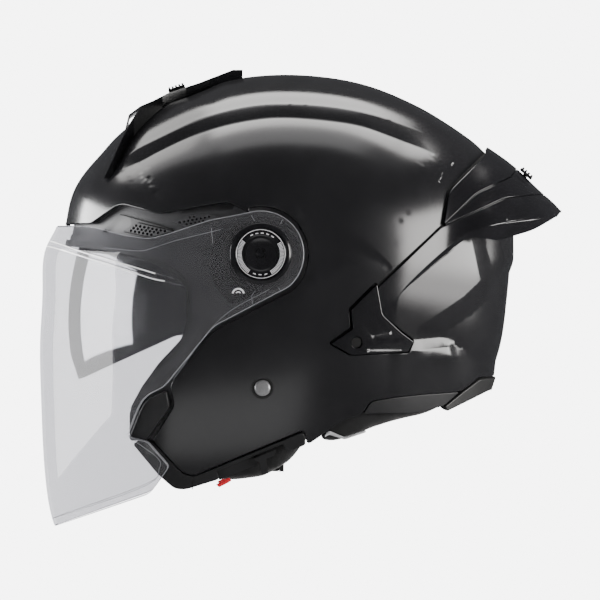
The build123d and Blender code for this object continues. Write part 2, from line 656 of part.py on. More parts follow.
def buckle_lever():
    plate = lengthwise_block(16, 42, -79.6, -77.7, 20.5)
    barrel = fore_aft_cylinder(*BUCKLE_HINGE, 1.9, 20.5)
    pin = fore_aft_cylinder(*BUCKLE_HINGE, 1.2, 27)
    return joined(without(plate, fore_aft_cylinder(20, -81.2, 2.4, 40)), barrel, pin)


def ratchet_tongue():
    tongue = lengthwise_block(-6, 38, -75.2, -72.9, 16)
    for i in range(9):
        x = 20 + 2.0 * i
        tongue = without(tongue, Pos(x, STRAP_Y, -75.4) * Rot(0, 45, 0) * Box(0.9, 30, 0.9))
    return joined(tongue, lengthwise_block(-16, -6, -75.2, -72.9, 22))


strap_left = without(strap_band(STRAP_SIDE + [(45, -73.4)]), tab_hole)
strap_left = without(strap_left, lengthwise_block(0, 45, -90, -60, 60))
right_line = [(-x, z) for x, z in STRAP_SIDE] + [(-36, -74.5), (-16, -74.05)]
save("strap_left", strap_left)
save("strap_right", without(strap_band(right_line), tab_hole, lengthwise_block(-16, 0, -90, -60, 60)))
save("buckle_body", buckle_body())
save("buckle_lever", buckle_lever())
save("ratchet_tongue", ratchet_tongue())


def strap_rivet():
    head = without(cross_cylinder(STRAP_RIVET, 5.3, 108, 119.0), shell_body())
    shank = cross_cylinder(STRAP_RIVET, 3.5, 108.7, 118.0)
    clench = cross_cylinder(STRAP_RIVET, 6.5, 107.9, 109.5)
    return joined(head, shank, clench)


washer_bore = cross_cylinder(STRAP_RIVET, 5.35, 0, FAR)
washer = without(cross_cylinder(STRAP_RIVET, 6.9, 108, 118.0), washer_bore, shell_body())
save("strap_rivets", both_sides(strap_rivet()))
save("rivet_washers", both_sides(washer))
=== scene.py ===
"""Looks for the open-face motorcycle helmet. Blender 4.5, metres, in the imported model's frame.

Side outlines are (y, z) in millimetres. Every outer skin lies on a rounded body, the same kind as in the CAD:
a closed middle profile that shrinks about a centre as the half width falls off along a superellipse. Skins are
laid out flat in a disc about that centre, filled with triangles, and lifted onto the body.
"""

from math import cos, hypot, pi, radians, sin

import bmesh
import bpy
import numpy as np
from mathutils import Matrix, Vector
from mathutils.geometry import delaunay_2d_cdt
from mathutils.kdtree import KDTree


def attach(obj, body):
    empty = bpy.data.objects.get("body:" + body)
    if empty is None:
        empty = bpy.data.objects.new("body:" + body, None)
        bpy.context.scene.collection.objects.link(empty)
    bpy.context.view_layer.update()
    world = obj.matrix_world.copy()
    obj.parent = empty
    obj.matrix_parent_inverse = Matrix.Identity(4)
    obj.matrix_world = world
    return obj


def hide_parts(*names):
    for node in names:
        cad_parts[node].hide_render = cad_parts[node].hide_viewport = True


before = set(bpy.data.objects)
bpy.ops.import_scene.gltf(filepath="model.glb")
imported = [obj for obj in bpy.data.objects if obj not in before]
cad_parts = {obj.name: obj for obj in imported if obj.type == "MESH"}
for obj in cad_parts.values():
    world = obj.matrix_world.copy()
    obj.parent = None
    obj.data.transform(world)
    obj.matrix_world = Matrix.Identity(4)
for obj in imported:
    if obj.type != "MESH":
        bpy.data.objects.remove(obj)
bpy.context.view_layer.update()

MM = 0.001
ALONG, ACROSS = 2.3, 2.1  # powers of the rounded bodies' two falls
PER_MM = 1 / 190.0  # disc radii per millimetre of skin, roughly
CREASE_GAP, CREASE_STEP = 0.7, 1.5  # mesh lines beside a crease: how far off it, and their spacing
NORMAL_STEP = 0.0015  # step on the disc for finding normals, about 0.3 mm
FLOOR_Z = -0.195
CLOTH_FRAMES, CLOTH_PRESSURE = 20, 4
HEAD_CENTRE = (0, 0, 0.02)
PIVOT, RIVET_AT = (-12.0, 58.0), (-11, -27)

# ---- Camera, lights and stage --------------------------------------------------------------------------------
DISTANCE, FRAME_WIDTH = 12.0, 0.384
camera = bpy.data.objects.new("camera", bpy.data.cameras.new("camera"))
camera.data.sensor_width = 36.0
camera.data.lens = 36.0 * DISTANCE / FRAME_WIDTH
camera.location = (DISTANCE, 0.0128, 0.0288)
camera.rotation_euler = (pi / 2, 0, pi / 2)
camera.data.clip_end = 100
bpy.context.collection.objects.link(camera)
bpy.context.scene.camera = camera


def link(obj):
    bpy.context.collection.objects.link(obj)
    return obj


def softbox(name, place, size, radiance, turn=None, colour=(1, 1, 1)):
    """A rectangular light of even radiance. It faces the helmet, or straight down turned by degrees about Z."""
    lamp = bpy.data.lights.new(name, "AREA")
    lamp.shape, lamp.size, lamp.size_y = "RECTANGLE", size[0], size[1]
    lamp.energy, lamp.color = radiance * pi * size[0] * size[1], colour
    obj = link(bpy.data.objects.new(name, lamp))
    obj.location = place
    if turn is None:
        obj.rotation_euler = (Vector((0, 0, place[2] * 0.6)) - Vector(place)).to_track_quat("-Z", "Y").to_euler()
    else:
        obj.rotation_euler = (0, 0, radians(turn))
    return obj


WARM = (1, 0.985, 0.965)
softbox("crown_back", (-0.85, 0.22, 2.2), (1.05, 2.1), 11, 0, WARM)
softbox("crown_front", (-1.2, -1.6, 2.2), (1.1, 1.7), 6, -33.5, WARM)
softbox("crown_side", (0.05, 0.12, 2.2), (0.8, 1.85), 2.6, 0)
softbox("crown_side_front", (-0.35, -1.35, 2.2), (0.7, 1.4), 2.2, -33.5)
softbox("rear_bank", (0.55, 2.35, 0.3), (2.7, 1.0), 16, None, WARM)
softbox("front_bank", (-0.6, -2.5, 0.2), (3.1, 1.15), 20)
softbox("low_side", (2.2, -0.4, -1.2), (2.0, 0.8), 1.5)

world = bpy.data.worlds.new("studio")
bpy.context.scene.world = world
world.use_nodes = True
wn = world.node_tree
wn.nodes.clear()
w_out = wn.nodes.new("ShaderNodeOutputWorld")
w_mix = wn.nodes.new("ShaderNodeMixShader")
w_path = wn.nodes.new("ShaderNodeLightPath")
w_seen, w_lit = wn.nodes.new("ShaderNodeBackground"), wn.nodes.new("ShaderNodeBackground")
w_seen.inputs[0].default_value, w_seen.inputs[1].default_value = (1, 1, 1, 1), 6.5
w_lit.inputs[0].default_value, w_lit.inputs[1].default_value = (0.93, 0.94, 1, 1), 0.075
wn.links.new(w_path.outputs["Is Camera Ray"], w_mix.inputs[0])
wn.links.new(w_lit.outputs[0], w_mix.inputs[1])
wn.links.new(w_seen.outputs[0], w_mix.inputs[2])
wn.links.new(w_mix.outputs[0], w_out.inputs[0])


# ---- Materials -----------------------------------------------------------------------------------------------
class Shader:
    """A material under construction, with short ways to add nodes."""

    def __init__(self, name):
        self.m = bpy.data.materials.new(name)
        self.m.use_nodes = True
        self.t = self.m.node_tree
        self.bsdf = self.t.nodes["Principled BSDF"]
        self.out = self.t.nodes["Material Output"]
        self.where = None

    def add(self, kind, **settings):
        node = self.t.nodes.new(kind)
        for key, value in settings.items():
            setattr(node, key, value)
        return node

    def put(self, socket, value):
        if hasattr(value, "links"):
            self.t.links.new(value, socket)
        else:
            socket.default_value = value

    def set(self, **values):
        names = {"base": "Base Color", "rough": "Roughness", "metal": "Metallic", "coat": "Coat Weight",
                 "coat_rough": "Coat Roughness", "spec": "Specular IOR Level", "sheen": "Sheen Weight",
                 "sheen_rough": "Sheen Roughness", "normal": "Normal", "ior": "IOR", "alpha": "Alpha"}
        for key, value in values.items():
            if key == "base" and isinstance(value, (int, float)):
                value = (value, value, value, 1)
            self.put(self.bsdf.inputs[names[key]], value)
        return self

    def coords(self):
        if not self.where:
            self.where = self.add("ShaderNodeTexCoord").outputs["Object"]
        return self.where

    def noise(self, scale, detail=2.0, rough=0.5):
        n = self.add("ShaderNodeTexNoise")
        n.inputs["Scale"].default_value, n.inputs["Detail"].default_value = scale, detail
        n.inputs["Roughness"].default_value = rough
        self.t.links.new(self.coords(), n.inputs["Vector"])
        return n.outputs["Fac"]

    def cells(self, scale, feature="F1"):
        n = self.add("ShaderNodeTexVoronoi", feature=feature)
        n.inputs["Scale"].default_value = scale
        self.t.links.new(self.coords(), n.inputs["Vector"])
        return n.outputs["Distance"]

    def ramp(self, value, low, high, to_low=0.0, to_high=1.0):
        n = self.add("ShaderNodeMapRange")
        self.put(n.inputs["Value"], value)
        for key, v in zip(("From Min", "From Max", "To Min", "To Max"), (low, high, to_low, to_high)):
            n.inputs[key].default_value = v
        return n.outputs["Result"]

    def math(self, operation, a, b=0.0):
        n = self.add("ShaderNodeMath", operation=operation)
        self.put(n.inputs[0], a)
        self.put(n.inputs[1], b)
        return n.outputs[0]

    def blend(self, share, a, b):
        n = self.add("ShaderNodeMix", data_type="RGBA")
        self.put(n.inputs["Factor"], share)
        for socket, colour in ((n.inputs[6], a), (n.inputs[7], b)):
            self.put(socket, colour if hasattr(colour, "links") or len(colour) == 4 else (*colour, 1))
        return n.outputs[2]

    def bump(self, height, strength=0.3, distance=0.0002):
        n = self.add("ShaderNodeBump")
        n.inputs["Strength"].default_value, n.inputs["Distance"].default_value = strength, distance
        self.put(n.inputs["Height"], height)
        self.put(self.bsdf.inputs["Normal"], n.outputs["Normal"])
        return self


def moulded(name, base, rough, spread=0.05, grain=0.12, grain_scale=2600, smudge=55, spec=0.5):
    """Painted or moulded plastic: patchy roughness at hand scale and a fine skin grain."""
    s = Shader(name)
    patches = s.noise(smudge, 3.0, 0.6)
    s.set(base=s.blend(s.ramp(patches, 0.3, 0.7), tuple(c * 0.85 for c in base), tuple(c * 1.15 for c in base)))
    s.set(rough=s.ramp(patches, 0.25, 0.75, rough - spread, rough + spread), spec=spec)
    s.bump(s.noise(grain_scale, 1.0), grain, 0.00004)
    return s


def clear_lens(name, tint, haze, haze_colour, gloss_rough=0.02, ior=1.5, mirror=None, cap=1.0):
    """A thin see-through sheet: what is behind it, tinted, under a Fresnel reflection and a little haze."""
    s = Shader(name)
    t = s.t
    t.nodes.remove(s.bsdf)
    through, gloss = s.add("ShaderNodeBsdfTransparent"), s.add("ShaderNodeBsdfGlossy")
    dust = s.add("ShaderNodeBsdfDiffuse")
    through.inputs[0].default_value = (*tint, 1)
    gloss.inputs["Color"].default_value = (1, 1, 1, 1)
    gloss.inputs["Roughness"].default_value = gloss_rough
    dust.inputs[0].default_value = (*haze_colour, 1)
    body, whole = s.add("ShaderNodeMixShader"), s.add("ShaderNodeMixShader")
    smears = s.ramp(s.noise(30, 3.0), 0.3, 0.7, haze * 0.8, haze * 1.2)
    s.put(body.inputs[0], smears)
    t.links.new(through.outputs[0], body.inputs[1])
    t.links.new(dust.outputs[0], body.inputs[2])
    fresnel = s.add("ShaderNodeFresnel")
    fresnel.inputs[0].default_value = ior
    share = fresnel.outputs[0] if mirror is None else s.math("MAXIMUM", fresnel.outputs[0], mirror)
    share = s.math("MINIMUM", share, cap)
    s.put(whole.inputs[0], share)
    t.links.new(body.outputs[0], whole.inputs[1])
    t.links.new(gloss.outputs[0], whole.inputs[2])
    t.links.new(whole.outputs[0], s.out.inputs[0])
    return s


def knit(name, base, scale=1500, sheen=0.6):
    """Brushed knit lining: fine loops, a soft nap and slightly worn patches."""
    s = Shader(name)
    loops, patches = s.cells(scale), s.noise(60, 4.0)
    s.set(base=s.blend(s.ramp(patches, 0.3, 0.7), tuple(c * 0.7 for c in base), tuple(c * 1.3 for c in base)))
    s.set(rough=0.9, sheen=sheen, sheen_rough=0.5, spec=0.2)
    s.bump(s.math("ADD", loops, s.math("MULTIPLY", patches, 0.3)), 0.5, 0.0004)
    return s


PAINT = moulded("shell_paint", (0.0105, 0.0105, 0.0115), 0.2, 0.012, grain=0.015, grain_scale=1400, smudge=30).m
TRIM = moulded("trim_plastic", (0.013, 0.013, 0.014), 0.44, 0.04, grain=0.015, grain_scale=1500, spec=0.3).m
FRAME = moulded("frame_plastic", (0.05, 0.05, 0.053), 0.46, 0.03, grain=0.006, grain_scale=900, spec=0.3).m
GLOSS = moulded("gloss_trim", (0.0075, 0.0075, 0.0085), 0.17, 0.015, grain=0.015, smudge=40).m
# Near-black plastic for the strips and sheets of painted shade in grooves, gaps and behind holes.
PAINTED_SHADE = moulded("painted_recess_shade", (0.002, 0.002, 0.002), 0.75, 0.05, grain=0.1).m
SEAL = moulded("seal_rubber", (0.011, 0.011, 0.011), 0.5, 0.05, grain=0.3, grain_scale=1200).m
LENS = clear_lens("clear_lens", (0.47, 0.47, 0.485), 0.045, (0.75, 0.75, 0.8), cap=0.02).m
LENS_UNDER = clear_lens("clear_lens_inside", (0.97, 0.97, 0.97), 0.0, (0.75, 0.76, 0.78), cap=0.02).m
# A hazier, lighter lens for the visor's cut edges and thin lines: painted highlight standing for the bright edges
# clear plastic shows.
LENS_EDGE_HIGHLIGHT = clear_lens("clear_lens_edge_highlight", (0.42, 0.42, 0.44), 0.3, (0.55, 0.56, 0.6), 0.05, cap=0.05).m
# A white haze sheet: painted highlight for the two bright white lines across the visor's clear part.
LENS_PAINTED_HIGHLIGHT = clear_lens("clear_lens_painted_highlight", (1, 1, 1), 0.85, (1, 1, 1), 0.1, cap=0.1).m
SMOKE = clear_lens("smoke_lens", (0.16, 0.16, 0.175), 0.05, (0.2, 0.2, 0.22), 0.06, mirror=0.4, cap=0.6).m
LINING = knit("lining_knit", (0.006, 0.006, 0.0065), 1500, 0.12).m
FOAM = Shader("liner_foam")
FOAM.set(base=FOAM.blend(FOAM.ramp(FOAM.cells(420), 0.0, 0.9), (0.02, 0.02, 0.021), (0.011, 0.011, 0.012)),
         rough=0.75)
FOAM.bump(FOAM.cells(420), 0.5, 0.0003)
FOAM = FOAM.m
PIPING = knit("piping_cloth", (0.3, 0.3, 0.31), 2500, 0.2).m
RED = knit("red_cloth", (0.55, 0.012, 0.02), 2500, 0.2).m


def webbing_material():
    s = Shader("strap_webbing")
    warp = s.add("ShaderNodeTexWave", bands_direction="X")
    weft = s.add("ShaderNodeTexWave", bands_direction="Y")
    for wave, scale in ((warp, 330), (weft, 260)):
        wave.inputs["Scale"].default_value = scale
        wave.inputs["Distortion"].default_value = 0.6
        s.t.links.new(s.coords(), wave.inputs["Vector"])
    weave = s.math("MULTIPLY", warp.outputs["Fac"], weft.outputs["Fac"])
    s.set(base=s.blend(weave, (0.008, 0.008, 0.008), (0.03, 0.03, 0.031)), rough=0.8, sheen=0.3)
    return s.bump(weave, 0.6, 0.0004).m


def steel(name, base, rough):
    s = Shader(name)
    marks = s.noise(900, 2.0)
    s.set(base=base, metal=1.0, rough=s.ramp(marks, 0.3, 0.7, rough * 0.75, rough * 1.3))
    return s.bump(marks, 0.05, 0.00003).m


WEBBING = webbing_material()
STEEL, BLACK_STEEL = steel("bright_steel", 0.62, 0.22), steel("black_steel", 0.04, 0.4)
SATIN = Shader("satin_rivet")
SATIN.set(base=SATIN.blend(SATIN.noise(900), (0.16, 0.16, 0.165), (0.24, 0.24, 0.245)), metal=0.35, rough=0.3)
SATIN = SATIN.m
# Grey print for the pivot's ticks and the visor's symbol; on the pivot's thin steel ring the same grey is painted
# reflection.
PRINT_AND_RING_SHEEN = Shader("grey_print_and_ring_sheen")
PRINT_AND_RING_SHEEN.set(base=PRINT_AND_RING_SHEEN.blend(PRINT_AND_RING_SHEEN.noise(2000), (0.5, 0.5, 0.52), (0.7, 0.7, 0.72)), rough=0.4)
PRINT_AND_RING_SHEEN = PRINT_AND_RING_SHEEN.m

# ---- Rounded bodies ------------------------------------------------------------------------------------------
CROWN_AND_BACK = [
    (-137, 78), (-132.5, 97.5), (-118, 118.5), (-100, 135.5), (-73.5, 153), (-39.5, 166.5), (-7.5, 171.5),
    (27, 170.5), (55, 165), (78, 156), (104, 142.5), (130, 124), (143.5, 100), (149, 75), (150, 52), (148, 28),
    (144, 0), (136, -26),
]
NECK_AND_FACE = [
    (120, -75), (82, -125), (20, -160), (-50, -168), (-105, -148), (-136, -105), (-144, -55), (-145, -10),
    (-143, 30), (-140.5, 55),
]
VISOR_FACE = [(-140, -125), (-150, -87), (-153, -32), (-153.5, 4), (-152, 37), (-149.5, 63), (-142.5, 77)]
SPOILER_BACK = [(136, 124.5), (152, 112.5), (166, 99), (181, 84), (187, 62), (184, 34), (173, -5), (152, -50)]


def shifted(points, centre, by):
    """The points, each moved away from the centre."""
    moved = []
    for y, z in points:
        reach = hypot(y - centre[0], z - centre[1])
        moved.append((centre[0] + (y - centre[0]) * (reach + by) / reach,
                     centre[1] + (z - centre[1]) * (reach + by) / reach))
    return moved


def closed_curve(points, steps=40):
    """A smooth closed curve through the points, as a periodic cubic spline over chord length."""
    p = np.array(points, float)
    n = len(p)
    h = np.hypot(*(np.roll(p, -1, 0) - p).T)
    a = np.zeros((n, n))
    rhs = np.zeros((n, 2))
    for i in range(n):
        a[i, i - 1], a[i, i], a[i, (i + 1) % n] = h[i - 1], 2 * (h[i - 1] + h[i]), h[i]
        rhs[i] = 6 * ((p[(i + 1) % n] - p[i]) / h[i] - (p[i] - p[i - 1]) / h[i - 1])
    m = np.linalg.solve(a, rhs)
    s = np.linspace(0, 1, steps, endpoint=False)[:, None]
    out = []
    for i in range(n):
        j = (i + 1) % n
        t = s * h[i]
        out.append((m[i] * (h[i] - t) ** 3 + m[j] * t**3) / (6 * h[i])
                   + (p[i] / h[i] - m[i] * h[i] / 6) * (h[i] - t)
                   + (p[j] / h[i] - m[j] * h[i] / 6) * t)
    return np.concatenate(out)


CAP = cos(radians(9)) ** (2 / ACROSS)  # the CAD's rounded bodies end in a flat disc at this share of the half width


class Body:
    """A rounded body. Its flat layout is a disc: the angle about the centre, and t from 0 at the widest point to 1
    at the middle section."""

    def __init__(self, profile, half_width, centre=PIVOT):
        curve = closed_curve(profile) - np.array(centre)
        angle, reach = np.arctan2(curve[:, 1], curve[:, 0]), np.hypot(curve[:, 0], curve[:, 1])
        order = np.argsort(angle)
        self.angles, self.reaches = angle[order], reach[order]
        self.centre, self.half_width = centre, half_width

    def reach(self, angle):
        return np.interp(angle, self.angles, self.reaches, period=2 * pi)

    def flat(self, yz, by=0.0):
        """Side-view points, n by 2, to disc points. Points outside the profile land on its rim."""
        d = np.asarray(yz, float) - np.array(self.centre)
        angle, r = np.arctan2(d[:, 1], d[:, 0]), np.hypot(d[:, 0], d[:, 1])
        share = np.clip(r / (self.reach(angle) + by), 0, 1)
        t = 2 / pi * np.arcsin(share ** (ALONG / 2))
        return np.stack([t * np.cos(angle), t * np.sin(angle)], 1)

    def side(self, uv):
        """Disc points back to side-view points."""
        t, angle = np.minimum(np.hypot(uv[:, 0], uv[:, 1]), 1), np.arctan2(uv[:, 1], uv[:, 0])
        r = np.sin(t * pi / 2) ** (2 / ALONG) * self.reach(angle)
        return np.stack([self.centre[0] + r * np.cos(angle), self.centre[1] + r * np.sin(angle)], 1)

    def place(self, uv, by=0.0):
        """Disc points, each by millimetres outside the body, as (x, y, z) on the left side, in millimetres."""
        t, angle = np.minimum(np.hypot(uv[:, 0], uv[:, 1]), 1), np.arctan2(uv[:, 1], uv[:, 0])
        r = np.sin(t * pi / 2) ** (2 / ALONG) * (self.reach(angle) + by)
        x = np.cos(t * pi / 2)
        x = np.where(t > 1 - 1e-6, 0, np.minimum(np.maximum(x, 0) ** (2 / ACROSS), CAP)) * (self.half_width + by)
        return np.stack([x, self.centre[0] + r * np.cos(angle), self.centre[1] + r * np.sin(angle)], 1)


SHELL = Body(CROWN_AND_BACK + NECK_AND_FACE, 123.5)
VISOR = Body(shifted(CROWN_AND_BACK[1:], PIVOT, 6) + shifted(NECK_AND_FACE[:5], PIVOT, 6) + VISOR_FACE, 126.5)
SPOILER = Body(shifted(CROWN_AND_BACK[:11], PIVOT, 1.5) + SPOILER_BACK + shifted(NECK_AND_FACE[1:], PIVOT, 1.5),
               125.0)


# ---- Outlines ------------------------------------------------------------------------------------------------
def subdivide(points, step, closed=True):
    """The outline with points added so that none are further apart than the step."""
    p = np.asarray(points, float)
    ends = np.roll(p, -1, 0) if closed else p[1:]
    out = []
    for a, b in zip(p, ends):
        n = max(1, int(np.ceil(np.hypot(*(b - a)) / step)))
        out += [a + (b - a) * i / n for i in range(n)]
    if not closed:
        out.append(p[-1])
    return np.array(out)


def rounded(points, radius=2.0, closed=True):
    """The outline with its corners turned into short curves. A point may carry its own radius as a third number."""
    pts = [(*p, radius) if len(p) == 2 else p for p in points]
    n, out = len(pts), []
    for i, (y, z, r) in enumerate(pts):
        if not closed and i in (0, n - 1) or r <= 0:
            out.append((y, z))
            continue
        p, a, b = Vector((y, z)), Vector(pts[i - 1][:2]), Vector(pts[(i + 1) % n][:2])
        to_a, to_b = (a - p), (b - p)
        cut = min(r, to_a.length * 0.45, to_b.length * 0.45)
        s, e = p + to_a.normalized() * cut, p + to_b.normalized() * cut
        for k in range(6):
            f = k / 5
            out.append(tuple(s * (1 - f) ** 2 + p * 2 * f * (1 - f) + e * f**2))
    return out


def arc(centre, radius, start, end, steps=24):
    """Points on a circle, degrees from +Y towards +Z."""
    return [(centre[0] + radius * cos(radians(start + (end - start) * i / steps)),
             centre[1] + radius * sin(radians(start + (end - start) * i / steps))) for i in range(steps + 1)]


def inside(points, loop):
    """Which points lie in the closed loop."""
    x, y = points[:, 0][:, None], points[:, 1][:, None]
    a, b = np.asarray(loop), np.roll(np.asarray(loop), -1, 0)
    crosses = (a[:, 1] > y) != (b[:, 1] > y)
    with np.errstate(divide="ignore", invalid="ignore"):
        at = (b[:, 0] - a[:, 0]) * (y - a[:, 1]) / (b[:, 1] - a[:, 1]) + a[:, 0]
    return (np.sum(crosses & (x < at), 1) % 2) == 1


def line_distance(points, line):
    """Distance from each point to an open line, and how far along it the nearest spot is, as a share. The distance
    is positive on the left of the line's run."""
    p, line = np.asarray(points, float), np.asarray(line, float)
    best, sign, along = np.full(len(p), 1e9), np.ones(len(p)), np.zeros(len(p))
    run = np.hypot(*(line[1:] - line[:-1]).T)
    total, done = run.sum(), 0.0
    for a, b, length in zip(line[:-1], line[1:], run):
        d = (b - a) / length
        s = np.clip((p - a) @ d, 0, length)
        gap = p - (a + s[:, None] * d)
        dist = np.hypot(gap[:, 0], gap[:, 1])
        closer = dist < best
        side = d[0] * (p[:, 1] - a[1]) - d[1] * (p[:, 0] - a[0])
        best, sign = np.where(closer, dist, best), np.where(closer, np.where(side >= 0, 1, -1), sign)
        along = np.where(closer, (done + s) / total, along)
        done += length
    return best * sign, along


def smooth(x, low, high):
    t = np.clip((x - low) / (high - low), 0, 1)
    return t * t * (3 - 2 * t)


def smooth_line(points, steps=8):
    """A Catmull-Rom line through the points."""
    p = [np.array(q, float) for q in points]
    p = [2 * p[0] - p[1]] + p + [2 * p[-1] - p[-2]]
    out = []
    for a, b, c, d in zip(p, p[1:], p[2:], p[3:]):
        for i in range(steps):
            t = i / steps
            out.append(0.5 * (2 * b + (c - a) * t + (2 * a - 5 * b + 4 * c - d) * t**2
                              + (3 * b - a - 3 * c + d) * t**3))
    out.append(p[-2])
    return np.array(out)


# ---- Skins ---------------------------------------------------------------------------------------------------
def triangulate(loop, holes, lines, spacing):
    """Fills the loop with even triangles. Holes are left open and lines become edges."""
    points, edges = [], []
    for ring, closed in [(loop, True)] + [(h, True) for h in holes] + [(l, False) for l in lines]:
        first = len(points)
        points += [tuple(p) for p in ring]
        count = len(ring)
        edges += [(first + i, first + (i + 1) % count) for i in range(count if closed else count - 1)]
    tree = KDTree(len(points))
    for i, p in enumerate(points):
        tree.insert((*p, 0), i)
    tree.balance()
    low, high = np.min(loop, 0), np.max(loop, 0)
    rows = int((high[1] - low[1]) / (spacing * 0.866)) + 1
    columns = int((high[0] - low[0]) / spacing) + 2
    grid = np.array([(low[0] + spacing * (c + 0.5 * (r % 2)), low[1] + spacing * 0.866 * (r + 0.5))
                     for r in range(rows) for c in range(columns)])
    keep = inside(grid, loop)
    for h in holes:
        keep &= ~inside(grid, h)
    for p in grid[keep]:
        if tree.find((*p, 0))[2] > spacing * 0.62:
            points.append(tuple(p))
    verts, _, faces, *_ = delaunay_2d_cdt([Vector(p) for p in points], edges, [], 0, 1e-7)
    verts = np.array([tuple(v) for v in verts])
    faces = np.array([f for f in faces if len(f) == 3])
    middle = verts[faces].mean(1)
    good = inside(middle, loop)
    for h in holes:
        good &= ~inside(middle, h)
    return verts, faces[good]


def mesh_object(name, verts, faces, material, normals=None, slots=None):
    """A smooth mesh. normals are one per vertex, and slots the material index of each face."""
    mesh = bpy.data.meshes.new(name)
    mesh.from_pydata([tuple(v) for v in verts], [], [tuple(int(i) for i in f) for f in faces])
    mesh.polygons.foreach_set("use_smooth", [True] * len(mesh.polygons))
    for m in material if isinstance(material, (list, tuple)) else [material]:
        mesh.materials.append(m)
    if slots is not None:
        mesh.polygons.foreach_set("material_index", [int(i) for i in slots])
    if normals is not None:
        mesh.normals_split_custom_set_from_vertices([tuple(n) for n in normals])
    mesh.update()
    return link(bpy.data.objects.new(name, mesh))


def unit(v):
    return v / np.maximum(np.linalg.norm(v, axis=-1, keepdims=True), 1e-12)


def surface(body, uv, by, relief, lean=None):
    """Points and outward normals, left side, in millimetres. relief(yz) adds to by, and lean(yz) moves along X."""

    def at(q):
        yz = body.side(q)
        point = body.place(q, by + relief(yz) if relief else np.full(len(q), float(by)))
        if lean:
            point[:, 0] += lean(yz)
        return point

    t = np.maximum(np.hypot(uv[:, 0], uv[:, 1]), 0.004)[:, None]
    inward, across = -uv / t, np.stack([-uv[:, 1], uv[:, 0]], 1) / t
    here, a = at(uv), at(uv + inward * NORMAL_STEP)
    turned = uv + across * NORMAL_STEP
    turned *= np.minimum(t, 1) / np.maximum(np.hypot(turned[:, 0], turned[:, 1]), 1e-9)[:, None]
    normal = unit(np.cross(a - here, at(turned) - here))
    core = t[:, 0] < 0.02
    normal[core] = (1, 0, 0)
    centre = np.array([0, *body.centre])
    flip = np.sum(normal * (here - centre), 1) < 0
    normal[flip] *= -1
    return here, normal


def build_sheet(point, normal, faces, wall, edge, seam, steps=4):
    """A sheet with rounded outer edges: verts, faces, normals and a slot per face (0 outer, 1 rim, 2 inner)."""
    faces = faces.copy()
    a, b, c = point[faces[:, 0]], point[faces[:, 1]], point[faces[:, 2]]
    wrong = np.sum(np.cross(b - a, c - a) * normal[faces].sum(1), 1) < 0
    faces[wrong] = faces[wrong][:, ::-1]
    pairs = np.concatenate([faces[:, [0, 1]], faces[:, [1, 2]], faces[:, [2, 0]]])
    known = {tuple(p) for p in pairs}
    border = np.array([p for p in known if (p[1], p[0]) not in known and not (seam[p[0]] and seam[p[1]])])
    out = np.zeros_like(point)
    for i, j in border:
        side = unit(np.cross(point[j] - point[i], normal[i] + normal[j]))
        out[i] += side
        out[j] += side
    size = np.linalg.norm(out, axis=1)
    rim = np.unique(border)
    stretch = np.clip(2 / np.maximum(size[rim], 1e-6), 1, 1.6)[:, None]
    side = unit(out[rim])
    side[seam[rim], 0] = 0
    side = unit(side)
    n = normal[rim]
    top = point.copy()
    top[rim] = point[rim] - side * edge * stretch
    verts, normals, slots = [top], [normal], [np.zeros(len(faces), int)]
    all_faces = [faces]
    index = np.full(len(point), -1)
    index[rim] = np.arange(len(rim))
    e0, e1 = index[border[:, 0]], index[border[:, 1]]
    last, count = rim.copy(), len(point)
    rings = [(edge * sin(pi / 2 * k / steps), edge * (1 - cos(pi / 2 * k / steps)),
        pi / 2 * k / steps) for k in range(1, steps + 1)]
    if edge <= 0:
        rings = [(0, 0, pi / 2)]
        verts.append(top[rim])
        normals.append(side)
        last = count + np.arange(len(rim))
        count += len(rim)
        rings = []
    rings.append((edge, max(wall, edge), pi / 2))
    for reach, drop, angle in rings:
        ring = top[rim] + side * reach * stretch - n * drop
        verts.append(ring)
        normals.append(unit(n * cos(angle) + side * sin(angle)))
        here = count + np.arange(len(rim))
        quads = np.stack([last[e0], here[e0], here[e1], last[e1]], 1)
        all_faces.append(quads)
        slots.append(np.ones(len(quads), int))
        last, count = here, count + len(rim)
    if wall:
        under = point - normal * wall
        verts.append(under)
        normals.append(-normal)
        all_faces.append(faces[:, ::-1] + count)
        slots.append(np.full(len(faces), 2))
    flat_faces = [f for group in all_faces for f in group]
    return np.concatenate(verts), flat_faces, np.concatenate(normals), np.concatenate(slots)


